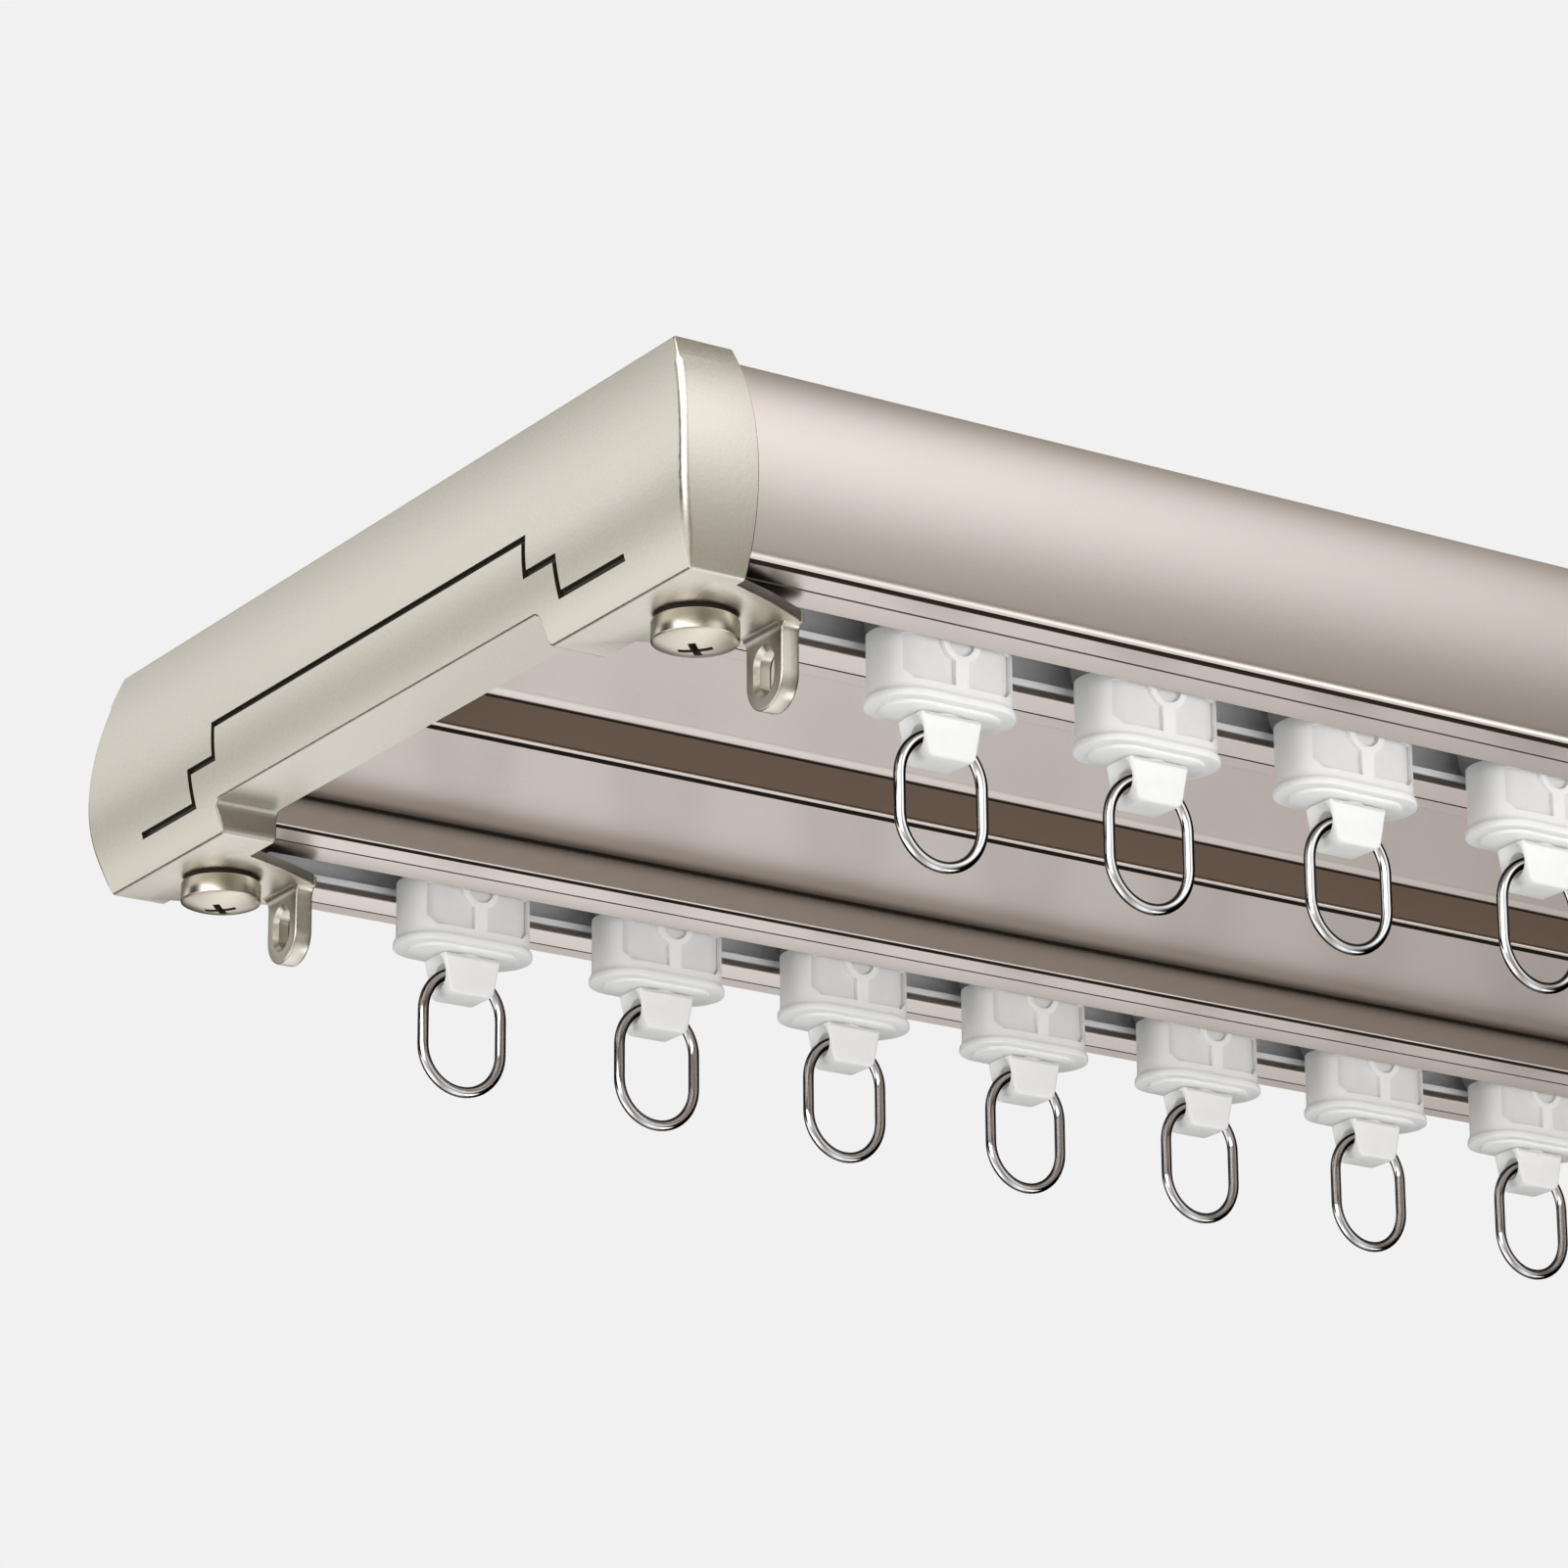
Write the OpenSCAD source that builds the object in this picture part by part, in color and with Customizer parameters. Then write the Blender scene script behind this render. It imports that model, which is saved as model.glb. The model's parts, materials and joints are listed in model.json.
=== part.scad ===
// Double curtain track: one aluminium section with two curtain channels,
// cast end caps with eye tabs, and nylon gliders that carry steel rings.
// X runs along the track, Y from the room side to the wall side, Z up.
// The origin is the centre of the top face, which lies against the ceiling.

/* [Track] */
// Length of the aluminium section
rail_len = 600; // [480:10:1200]
// Width of the section over its two rounded faces
rail_w = 138; // [120:1:160]
// Height from the top face down to the lips of the slots
rail_h = 25.5; // [25.5:0.5:30]
// Centre line of a channel from the widest point of its face
channel_side = 15.8; // [15.6:0.1:17]
// Radius of the rounded front and back faces
face_r = 25.2; // [24.5:0.1:27]
// Height of the widest point of the faces above the lips
face_z = 9.6; // [9:0.1:11]
// Wall of the section
rail_wall = 1.2; // [1.2:0.1:1.6]
// Skin of the section on top
top_skin = 1.4; // [1.2:0.1:2]
// How far the tops of the channels lie below the top face
top_step = 1.2; // [1:0.1:1.5]

/* [Channels] */
// Width of the slot that the gliders hang through
slot_w = 9.9; // [9:0.1:11]
// Width of the flat band of a lip, next to the slot
lip_flat = 4.84; // [4.4:0.02:5]
// Width of the sloping band of a lip
lip_band = 4.2; // [3.8:0.1:4.2]
// How much the sloping band rises
lip_rise = 0.3; // [0.2:0.02:0.5]
// Thickness of a lip
lip_t = 1; // [0.8:0.1:1.2]
// Width of a channel inside
channel_w = 21.8; // [21.4:0.1:22]
// Height of a channel inside
channel_h = 11.1; // [11:0.1:13]
// Thickness of the foot of a wall beside the groove along a lip
groove_foot = 0.3; // [0.2:0.05:0.5]
// Width of that groove
groove_w = 0.75; // [0.4:0.05:0.9]
// Depth of that groove
groove_d = 0.9; // [0.4:0.05:1]

/* [Web] */
// Height of the underside of the web above the lips
web_up = 4.44; // [4:0.02:5]
// Thickness of the web
web_t = 2.2; // [2:0.1:2.6]
// Half distance between the two inner ribs
rib_y = 10; // [9:0.5:14]
// Diameter of the ceiling screw holes
ceiling_hole_d = 5; // [4:0.1:6]
// Diameter of the driver holes below them
driver_hole_d = 9.5; // [9:0.1:10.5]
// Distance between neighbouring ceiling screws
ceiling_pitch = 240; // [150:10:240]
// Width of the cover strip
strip_w = 12.2; // [11.6:0.1:13]
// Thickness of the cover strip
strip_t = 1.2; // [1:0.1:1.3]
// How far the two ribs beside the strip stand below the web
rib_proud = 0.4; // [0.3:0.05:0.6]
// How far the strip lies above the feet of the ribs
strip_in = 0.3; // [0.1:0.05:0.5]
// Width of each rib beside the strip
strip_rib = 0.8; // [0.7:0.1:1.5]
// Width of the pry groove beyond the rib on the wall side
pry_w = 2.2; // [1.5:0.1:2.6]
// Depth of the pry groove
pry_d = 0.8; // [0.5:0.1:1]
// Width of the snap bead along each edge of the strip
bead_w = 0.25; // [0.15:0.05:0.3]
// Height of the snap bead
bead_h = 0.5; // [0.4:0.05:0.6]

/* [Liner] */
// Wall of the plastic liner
liner_t = 0.8; // [0.6:0.1:0.9]
// Distance from the end of the section to the liner
liner_in = 18; // [16:0.5:24]

/* [End caps] */
// Wall of the cap round the section
cap_wall = 1.25; // [1:0.05:1.4]
// How far the cap reaches over the section
cap_over = 5.9; // [5:0.1:6.4]
// Thickness of the end wall at the top and bottom chord
cap_end = 1.6; // [1.4:0.1:2.4]
// How far the end wall bulges past that chord
cap_bulge = 2.35; // [1.8:0.05:2.6]
// Radius of the bulge of the end wall
cap_end_r = 60; // [50:1:80]
// Thickness of the cap under the lips
cap_floor = 2.4; // [2.2:0.1:2.8]
// Thickness of the cap under the web
cap_web = 3; // [2.4:0.1:3.2]
// Wall of a lobe towards the web
cap_side = 1.1; // [0.8:0.1:1.4]
// Radius of the lower edges of the lobes
cap_round = 2; // [0.8:0.1:2]
// Radius of the hollow corners between the lobes and the middle
cap_fillet = 1.5; // [0.8:0.1:1.8]
// Width of the engraved line
line_w = 0.85; // [0.6:0.05:1.2]
// Depth of the engraved line
line_d = 0.7; // [0.4:0.1:0.9]
// Height of the lower run of the line above the lips
line_z = 2.05; // [1.8:0.05:2.2]
// Height of each of its two steps
line_step = 4.2; // [3.6:0.1:4.6]
// Outer ends of the line from the widest points of the faces
line_side = 12.4; // [10:0.1:14]
// Width of the middle run on each side
line_mid = 6.3; // [4:0.1:7]
// Width of the lower run on each side
line_low = 13.6; // [8:0.1:14]

/* [Eye tabs] */
// How much further out than its channel an eye tab sits
tab_out = 2; // [1.6:0.1:2.8]
// Width of an eye tab
tab_w = 7.3; // [6:0.1:8]
// Thickness of an eye tab
tab_t = 2.4; // [2:0.1:2.8]
// Far face of the eye tab from the end of the section
tab_x = 18.4; // [18:0.1:20]
// Lowest point of the tab below the lips
tab_drop = 11.6; // [11:0.1:14]
// Width of the eye
eye_w = 3.2; // [2.6:0.1:3.8]
// Height of the eye
eye_h = 5; // [4.2:0.1:6]
// Thickness of the tongue that carries the tab
tongue_t = 1.3; // [1.1:0.1:1.6]
// Width of the tongue at the mouth of the cap
tongue_w = 20.6; // [18:0.2:21]
// Width of the tongue half way to the tab
tongue_mid = 15.8; // [13:0.1:17]
// Width of the tongue at the tab
tongue_tip = 10.8; // [8.5:0.1:12]
// Radius of the corners of the tongue at the tab
tongue_r = 2; // [1:0.1:3]
// Radius of the bend between tongue and tab
bend_r = 1.6; // [1:0.1:2]

/* [Cap screws] */
// How much further out than its channel a cap screw sits
screw_out = 1.7; // [1.2:0.1:2.1]
// Axis of a cap screw from the end of the section
screw_x = 7.3; // [7:0.1:7.6]
// Diameter of the thread
screw_d = 5; // [4:0.1:5]
// Diameter of the pan head
head_d = 9.9; // [9.2:0.1:10.4]
// Height of the straight side of the head
head_h = 2.9; // [2:0.1:3.2]
// Height of the dome of the head
head_dome = 1; // [0.6:0.05:1.2]
// Width of the cross recess
cross_w = 4; // [3.4:0.1:4.6]
// Depth of the cross recess
cross_d = 1.6; // [1:0.1:2]
// Width of one slot of the cross
cross_slot = 0.9; // [0.7:0.05:1.2]
// How far the screw stands out above its nut
screw_over = 0.8; // [0.2:0.1:1.5]
// Diameter of the boss round the screw
boss_d = 9.2; // [8.6:0.1:9.6]
// Length of a channel nut across the channel
nut_l = 17; // [16:0.5:18]
// Width of a channel nut along the channel
nut_w = 9; // [8:0.5:9.5]
// Thickness of a channel nut
nut_t = 3; // [2.5:0.1:4]

/* [Gliders] */
// Distance between neighbouring gliders
glider_pitch = 28.8; // [27:0.2:30]
// First glider from the end of the section
glider_first = 40.9; // [38:0.1:44]
// Length of the carriage body
body_l = 18.1; // [17:0.1:20]
// Free play of the body in the slot on each side
body_play = 0.35; // [0.2:0.05:0.5]
// Lowest face of the carriage below the lips
body_drop = 7; // [6.4:0.1:8]
// How much the flange stands out round the body
flange_out = 0.35; // [0.2:0.05:0.7]
// Thickness of the flange
flange_t = 0.9; // [0.6:0.1:1.2]
// Height of the oval step below the flange
step_h = 0.45; // [0.3:0.05:0.6]
// Length of the oval step
step_l = 15; // [13:0.2:16]
// Width of the oval step
step_w = 7.4; // [7:0.1:8]
// Depth of the panels in the sides of the body
panel_d = 0.6; // [0.3:0.05:0.7]
// Distance from the end of the body to the panels
panel_end = 1.7; // [1.4:0.1:3]
// Lower edge of the panels below the lips
panel_low = 4.9; // [4:0.1:5.4]
// Upper edge of the panels above the lips
panel_up = 0.5; // [0.1:0.1:1]
// Bevel of the lower corners of the panels
panel_bevel = 1.1; // [0.4:0.1:2]
// Width of the upright rib between the panels
rib_w = 1.8; // [1.2:0.1:2.4]
// Radius of the half-round boss on the rib
boss_r = 2.6; // [2.2:0.1:3]
// Radius of the hollow in that boss
boss_in_r = 1.8; // [1:0.1:2]
// Centre of the boss above the lips
boss_up = 0.56; // [0.2:0.02:1]
// Radius of the wheels
wheel_r = 4.3; // [4:0.05:4.4]
// Width of a wheel
wheel_w = 4; // [3:0.1:4.2]
// Radius of the axle
axle_r = 1.25; // [1:0.05:1.4]
// Width of the block that holds the axle
block_w = 9; // [8:0.1:9]
// Radius of the block round the axle
block_r = 3.6; // [3:0.1:3.8]
// Side gap between block and wheel
wheel_gap = 0.25; // [0.15:0.05:0.4]

/* [Swivels and rings] */
// Radius of the swivel stem
stem_r = 2.2; // [1.8:0.05:2.4]
// Radius of the head that holds the stem
stem_head_r = 3; // [2.8:0.05:3.2]
// Height of that head
stem_head_h = 1.8; // [1.4:0.1:2]
// Top of the head below the lips
stem_top = 0.6; // [0.4:0.1:0.8]
// Width of the hook block at its top
hook_top = 8.4; // [7.8:0.1:9]
// Width of the hook block at its foot
hook_foot = 6.2; // [5.6:0.1:6.6]
// Thickness of the hook block
hook_t = 5.2; // [4.6:0.1:5.6]
// Foot of the hook block below the lips
hook_drop = 12.9; // [12.6:0.1:14]
// Radius of the corners at the foot of the block
hook_round = 1; // [0.6:0.1:1.4]
// Diameter of the ring wire
wire_d = 1.4; // [1.2:0.1:1.6]
// Radius of the ends of the ring, at the centre of the wire
ring_r = 5.6; // [5.2:0.1:6.2]
// Length of the straight sides of the ring
ring_side = 4.4; // [3:0.1:6]
// Axis of the ring's bore below the lips
ring_axis = 10.1; // [9.9:0.1:10.4]
// Height of the top of the wire's centre line above that axis
ring_sag = 0.8; // [0.7:0.05:0.9]
// Radius of the ring's bore
ring_bore_r = 1.56; // [1.5:0.02:1.7]
// Bevel round the mouths of that bore
bore_bevel = 0.6; // [0.2:0.1:0.8]
// Gap between the carriage and the hook block
hook_gap = 0.2; // [0.1:0.05:0.3]

/* [Fits] */
// Clearance between cap and section, and round the liner
fit = 0.05; // [0.03:0.01:0.1]
// Radial clearance of axles and stems
turn_fit = 0.05; // [0.02:0.01:0.1]
// Clearance of the screws in the cap
screw_fit = 0.15; // [0.1:0.05:0.3]
// Gap between the cover strip and the caps
strip_gap = 0.4; // [0.1:0.1:1]
// Gap between the wheels and the floor they run on
run_fit = 0.02; // [0.01:0.01:0.05]

/* [Hidden] */
$fn = 48;
eps = 0.01;

z_lip = -rail_h;
z_web = z_lip + web_up;
z_channel_top = -top_step;
z_face = z_lip + face_z;
z_wall_foot = z_lip + lip_rise;
y_channel = rail_w / 2 - channel_side;
y_tab = y_channel + tab_out;
y_screw = y_channel + screw_out;
y_face = rail_w / 2 - face_r;
lip_half = slot_w / 2 + lip_flat + lip_band;
y_web = y_channel - lip_half;
y_foot = y_face + sqrt(face_r * face_r - (face_z - lip_rise) * (face_z - lip_rise));
z_floor = z_lip + lip_t;
z_roof = z_floor + channel_h;
z_run = z_floor + fit + liner_t;
z_axle = z_run + wheel_r + run_fit;
x_end = rail_len / 2;
z_cap = z_lip - cap_floor;
z_cap_web = z_web - cap_web;
y_lobe = y_web - fit - cap_side;
z_body = z_lip - body_drop;
body_w = slot_w - 2 * body_play;
z_step = z_body - step_h;
z_hook = z_step - hook_gap;
z_foot = z_lip - hook_drop;
z_ring_axis = z_lip - ring_axis;
x_first = -x_end + glider_first;
z_neck = z_floor + 0.6;
z_stem_top = z_lip - stem_top;
z_strip = z_web - rib_proud + strip_in;
z_bead = z_strip + (strip_t - bead_h) / 2;
x_bulge = -x_end - cap_end - cap_bulge;
panel_half = body_l / 2 - panel_end;
line_top = rail_w / 2 - line_side - line_low - line_mid;
bore_share = (z_hook - z_ring_axis) / (z_hook - z_foot);
bore_mouth = hook_top / 2 - bore_share * (hook_top - hook_foot) / 2;

// Shape tools

// A section in the YZ plane, drawn as x = Y and y = Z, swept along X
module along_x(x0, x1)
    translate([x0, 0, 0])
        rotate([90, 0, 90])
            linear_extrude(x1 - x0) children();

// A section in the XZ plane, drawn as x = X and y = Z, swept along Y
module along_y(y0, y1)
    translate([0, y1, 0])
        rotate([90, 0, 0])
            linear_extrude(y1 - y0) children();

// A rectangle from corner to corner
module rect(x0, y0, x1, y1)
    translate([x0, y0]) square([x1 - x0, y1 - y0]);

// A long oval in the XY plane
module oval(length, width) {
    square([length - width, width], center = true);
    for (s = [-1, 1])
        translate([s * (length - width) / 2, 0]) circle(d = width);
}

// Both sides of the track
module both_sides() {
    children();
    mirror([0, 1, 0]) children();
}

// Both halves of a section
module both_halves() {
    children();
    mirror([1, 0]) children();
}

// Track section

// One half of a rounded outline between two heights
module face_half(r, z0, z1)
    intersection() {
        union() {
            translate([y_face, z_face]) circle(r, $fn = 180);
            rect(0, z_face - r, y_face, z_face + r);
        }
        rect(0, z0, rail_w, z1);
    }

// Outer shape of one half of the section
module section_outer_half() {
    difference() {
        face_half(face_r, z_wall_foot, z_channel_top);
        rect(-1, z_lip - 1, y_web, z_web);
    }
    rect(0, z_channel_top - eps, y_web + rail_wall, 0);
    polygon([
        [y_web, z_wall_foot + eps],
        [y_web, z_wall_foot],
        [y_channel - slot_w / 2 - lip_flat, z_lip],
        [y_channel + slot_w / 2 + lip_flat, z_lip],
        [y_foot, z_wall_foot],
        [y_foot, z_wall_foot + eps]
    ]);
    rect(strip_w / 2 - eps, z_web - rib_proud, strip_w / 2 + strip_rib, z_web + eps);
}

// Groove between the foot of a wall and its lip: it narrows upwards and the lip side is upright
module lip_groove()
    polygon([
        [groove_foot, -lip_rise],
        [groove_foot, 0],
        [groove_foot + groove_w / 2, groove_d],
        [groove_foot + groove_w, groove_d],
        [groove_foot + groove_w, -lip_rise]
    ]);

// Hollow beside and above a channel
module side_hollow()
    difference() {
        intersection() {
            face_half(face_r - rail_wall, z_floor + rail_wall, z_channel_top - rail_wall);
            rect(y_web + rail_wall, z_lip, rail_w, 0);
        }
        rect(0, z_lip, y_channel + channel_w / 2 + rail_wall, z_roof + rail_wall);
    }

// All that is open in one half of the section
module section_open_half() {
    rect(y_channel - channel_w / 2, z_floor, y_channel + channel_w / 2, z_roof);
    rect(y_channel - slot_w / 2, z_lip - 1, y_channel + slot_w / 2, z_floor + eps);
    side_hollow();
    rect(-1, z_web + web_t, rib_y, -top_skin);
    rect(rib_y + rail_wall, z_web + web_t, y_web, -top_skin);
    translate([y_web, z_wall_foot]) lip_groove();
    translate([y_foot, z_wall_foot]) mirror([1, 0]) lip_groove();
    rect(-1, z_web - rib_proud - 1, strip_w / 2, z_strip + strip_t + fit);
    rect(0, z_bead - fit, strip_w / 2 + bead_w + fit, z_bead + bead_h + fit);
}

module section()
    difference() {
        both_halves()
            difference() {
                section_outer_half();
                section_open_half();
            }
        translate([strip_w / 2 + strip_rib, z_web - 1]) square([pry_w, pry_d + 1]);
    }

// Places of the ceiling screws along the track
module at_ceiling_screws()
    for (i = [-1, 0, 1])
        translate([i * ceiling_pitch, 0, 0]) children();

module rail()
    color([0.74, 0.68, 0.63])
        difference() {
            along_x(-x_end, x_end) section();
            at_ceiling_screws() {
                translate([0, 0, -top_skin - 1])
                    cylinder(h = top_skin + 2, d = ceiling_hole_d);
                translate([0, 0, z_web - 1])
                    cylinder(h = web_t + 2, d = driver_hole_d);
            }
        }

module cover_strip()
    color([0.37, 0.29, 0.24])
        along_x(-x_end + cap_over + strip_gap, x_end - cap_over - strip_gap) {
            rect(-strip_w / 2 + fit, z_strip, strip_w / 2 - fit, z_strip + strip_t);
            rect(-strip_w / 2 - bead_w, z_bead, strip_w / 2 + bead_w, z_bead + bead_h);
        }

// Plastic liner of one channel
module liner(side)
    color([0.55, 0.55, 0.58])
        translate([0, side * y_channel, 0])
            along_x(-x_end + liner_in, x_end - liner_in)
                difference() {
                    rect(-channel_w / 2 + fit, z_floor + fit, channel_w / 2 - fit, z_roof - fit);
                    rect(-channel_w / 2 + fit + liner_t, z_run,
                         channel_w / 2 - fit - liner_t, z_roof - fit - liner_t);
                    rect(-slot_w / 2, z_lip, slot_w / 2, z_run + eps);
                }

// End caps

// Outline of one half of the cap, seen along the track
module cap_half() {
    difference() {
        face_half(face_r + cap_wall, z_cap, 0);
        rect(-1, z_cap - 1, y_lobe, z_cap_web);
        translate([y_lobe, z_cap])
            difference() {
                rect(-1, -1, cap_round, cap_round);
                translate([cap_round, cap_round]) circle(cap_round);
            }
    }
    translate([y_lobe - cap_fillet, z_cap_web - cap_fillet])
        difference() {
            square(cap_fillet + eps);
            circle(cap_fillet);
        }
}

// Space in the cap for one half of the section
module cap_room_half() {
    difference() {
        face_half(face_r + fit, z_lip - fit, z_channel_top + fit);
        rect(-1, z_lip - 1, y_web - fit, z_web - fit);
    }
    rect(-1, z_channel_top, y_web + rail_wall + fit, 1);
    rect(-1, z_web - rib_proud - 2 * fit, strip_w / 2 + strip_rib + fit, z_web);
}

// Solid that rounds the end wall, with its axis along Y
module bulge(r)
    translate([x_bulge + cap_end_r, 0, z_face])
        rotate([90, 0, 0])
            cylinder(h = 2 * rail_w, r = r, center = true, $fn = 180);

// One straight run of the line, right through the end wall
module line_run(y0, z0, y1, z1)
    translate([x_bulge - 1, min(y0, y1) - line_w / 2, min(z0, z1) - line_w / 2])
        cube([cap_bulge + 1, abs(y1 - y0) + line_w, abs(z1 - z0) + line_w]);

// Path of the line with its two steps down to each side
module line_path() {
    z0 = z_lip + line_z;
    z1 = z0 + line_step;
    z2 = z1 + line_step;
    y1 = line_top + line_mid;
    line_run(-line_top, z2, line_top, z2);
    both_sides() {
        line_run(line_top, z2, line_top, z1);
        line_run(line_top, z1, y1, z1);
        line_run(y1, z1, y1, z0);
        line_run(y1, z0, y1 + line_low, z0);
    }
}

// Engraved line, equally deep all along
module cap_line()
    difference() {
        line_path();
        bulge(cap_end_r - line_d);
    }

// Half outline of the tongue, with a rounded corner that its flank touches
module tongue_half() {
    mid = [(cap_over + tab_x) / 2, tongue_mid / 2];
    corner = [tab_x - tongue_r, tongue_tip / 2 - tongue_r];
    reach = norm(corner - mid);
    turn = atan2(corner.y - mid.y, corner.x - mid.x) + asin(tongue_r / reach);
    touch = mid + sqrt(reach * reach - tongue_r * tongue_r) * [cos(turn), sin(turn)];
    polygon([
        [cap_over - 1, 0],
        [cap_over - 1, tongue_w / 2],
        [cap_over, tongue_w / 2],
        mid,
        touch,
        corner,
        [tab_x, corner.y],
        [tab_x, 0]
    ]);
    translate(corner) circle(tongue_r);
}

// Tongue below a slot
module tongue()
    translate([0, 0, z_cap])
        linear_extrude(tongue_t) {
            tongue_half();
            mirror([0, 1]) tongue_half();
        }

// Eye tab that hangs from the tip of the tongue
module eye_tab() {
    z_round = z_lip - tab_drop + tab_w / 2;
    z_eye = z_round + eye_h / 2 - eye_w / 2;
    difference() {
        union() {
            translate([tab_x - tab_t, -tab_w / 2, z_round])
                cube([tab_t, tab_w, z_cap + tongue_t - z_round]);
            translate([tab_x - tab_t, 0, z_round])
                rotate([0, 90, 0]) cylinder(h = tab_t, d = tab_w);
            translate([tab_x - tab_t - bend_r, 0, z_cap - bend_r])
                difference() {
                    translate([0, -tab_w / 2, 0]) cube([bend_r + eps, tab_w, bend_r + eps]);
                    rotate([90, 0, 0]) cylinder(h = tab_w + 2, r = bend_r, center = true);
                }
        }
        for (s = [-1, 1])
            translate([tab_x - tab_t - 1, 0, z_eye + s * (eye_h - eye_w) / 2])
                rotate([0, 90, 0]) cylinder(h = tab_t + 2, d = eye_w);
        translate([tab_x - tab_t - 1, -eye_w / 2, z_eye - (eye_h - eye_w) / 2])
            cube([tab_t + 2, eye_w, eye_h - eye_w]);
    }
}

// Cap for the left end
module cap()
    difference() {
        union() {
            intersection() {
                along_x(x_bulge, -x_end + cap_over)
                    both_halves() cap_half();
                bulge(cap_end_r);
            }
            both_sides()
                translate([-x_end, y_tab, 0]) {
                    tongue();
                    eye_tab();
                }
            both_sides()
                translate([-x_end + screw_x, y_screw, z_cap])
                    cylinder(h = cap_floor - fit, d = boss_d);
        }
        along_x(-x_end - fit, -x_end + cap_over + 1)
            both_halves() cap_room_half();
        both_sides()
            translate([-x_end + screw_x, y_screw, z_cap - 1])
                cylinder(h = cap_floor + 2, d = screw_d + 2 * screw_fit);
        cap_line();
    }

module end_cap_left()
    color([0.77, 0.75, 0.69]) cap();

module end_cap_right()
    color([0.77, 0.75, 0.69]) mirror([1, 0, 0]) cap();

// All four places of a cap screw
module at_cap_screws()
    for (sx = [-1, 1], sy = [-1, 1])
        translate([sx * (x_end - screw_x), sy * y_screw, 0]) children();

// Dome of a screw head, as a slice of a sphere
module head_cap() {
    r = ((head_d / 2) * (head_d / 2) + head_dome * head_dome) / (2 * head_dome);
    intersection() {
        translate([0, 0, r - head_dome]) sphere(r, $fn = 96);
        translate([0, 0, -head_dome - 1]) cylinder(h = head_dome + 1 + eps, d = head_d);
    }
}

module cap_screws()
    color([0.78, 0.74, 0.64])
        at_cap_screws()
            difference() {
                union() {
                    translate([0, 0, z_cap - head_h]) cylinder(h = head_h, d = head_d);
                    translate([0, 0, z_cap - head_h]) head_cap();
                    translate([0, 0, z_cap - eps])
                        cylinder(h = z_floor + nut_t + screw_over - z_cap, d = screw_d);
                }
                for (a = [45, 135])
                    rotate([0, 0, a])
                        translate([0, 0, z_cap - head_h - head_dome])
                            cube([cross_w, cross_slot, 2 * cross_d], center = true);
            }

module cap_nuts()
    color([0.6, 0.6, 0.6])
        for (sx = [-1, 1], sy = [-1, 1])
            difference() {
                translate([sx * (x_end - screw_x) - nut_w / 2, sy * y_channel - nut_l / 2, z_floor])
                    cube([nut_w, nut_l, nut_t]);
                translate([sx * (x_end - screw_x), sy * y_screw, z_floor - 1])
                    cylinder(h = nut_t + 2, d = screw_d + 2 * turn_fit);
            }

// Gliders

// Puts a glider at its place in its row: side -1 is the room side
module at_glider(side, n)
    translate([x_first + (n - 1) * glider_pitch, side * y_channel, 0]) children();

// Outline of the sunken panels: a rib and a boss stay between them, the boss has its own hollow
module panel_outline() {
    difference() {
        polygon([
            [-panel_half, panel_up],
            [-panel_half, panel_bevel - panel_low],
            [panel_bevel - panel_half, -panel_low],
            [panel_half - panel_bevel, -panel_low],
            [panel_half, panel_bevel - panel_low],
            [panel_half, panel_up]
        ]);
        rect(-rib_w / 2, -body_drop, rib_w / 2, boss_up);
        translate([0, boss_up]) circle(boss_r);
    }
    intersection() {
        translate([0, boss_up]) circle(boss_in_r);
        rect(-boss_r, -boss_r, boss_r, panel_up);
    }
}

// Sunken panels in one side of the body, equally deep round its ends
module body_panel()
    difference() {
        translate([0, 0, z_lip]) along_y(0, body_w / 2 + 1) panel_outline();
        translate([0, 0, z_body])
            linear_extrude(z_neck - z_body) oval(body_l - 2 * panel_d, body_w - 2 * panel_d);
    }

module carriage(side, n)
    color([0.95, 0.95, 0.94])
        at_glider(side, n)
            difference() {
                union() {
                    translate([0, 0, z_body]) linear_extrude(z_neck - z_body) oval(body_l, body_w);
                    translate([0, 0, z_body])
                        linear_extrude(flange_t)
                            oval(body_l + 2 * flange_out, body_w + 2 * flange_out);
                    translate([0, 0, z_step]) linear_extrude(step_h + eps) oval(step_l, step_w);
                    translate([-block_r, -block_w / 2, z_neck - eps])
                        cube([2 * block_r, block_w, z_axle - z_neck + eps]);
                    translate([0, block_w / 2, z_axle])
                        rotate([90, 0, 0]) cylinder(h = block_w, r = block_r);
                }
                both_sides() body_panel();
                translate([0, block_w, z_axle])
                    rotate([90, 0, 0]) cylinder(h = 2 * block_w, r = axle_r + turn_fit);
                translate([0, 0, z_step - 1])
                    cylinder(h = z_stem_top - z_step + 1, r = stem_r + turn_fit);
                translate([0, 0, z_stem_top - stem_head_h - fit])
                    cylinder(h = stem_head_h + 2 * fit, r = stem_head_r + turn_fit);
            }

module wheels(side, n)
    color([0.9, 0.9, 0.9])
        at_glider(side, n)
            translate([0, 0, z_axle]) {
                rotate([90, 0, 0])
                    cylinder(h = block_w + 2 * wheel_gap + 2 * wheel_w, r = axle_r, center = true);
                both_sides()
                    translate([0, block_w / 2 + wheel_gap + wheel_w, 0])
                        rotate([90, 0, 0]) cylinder(h = wheel_w, r = wheel_r);
            }

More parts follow.
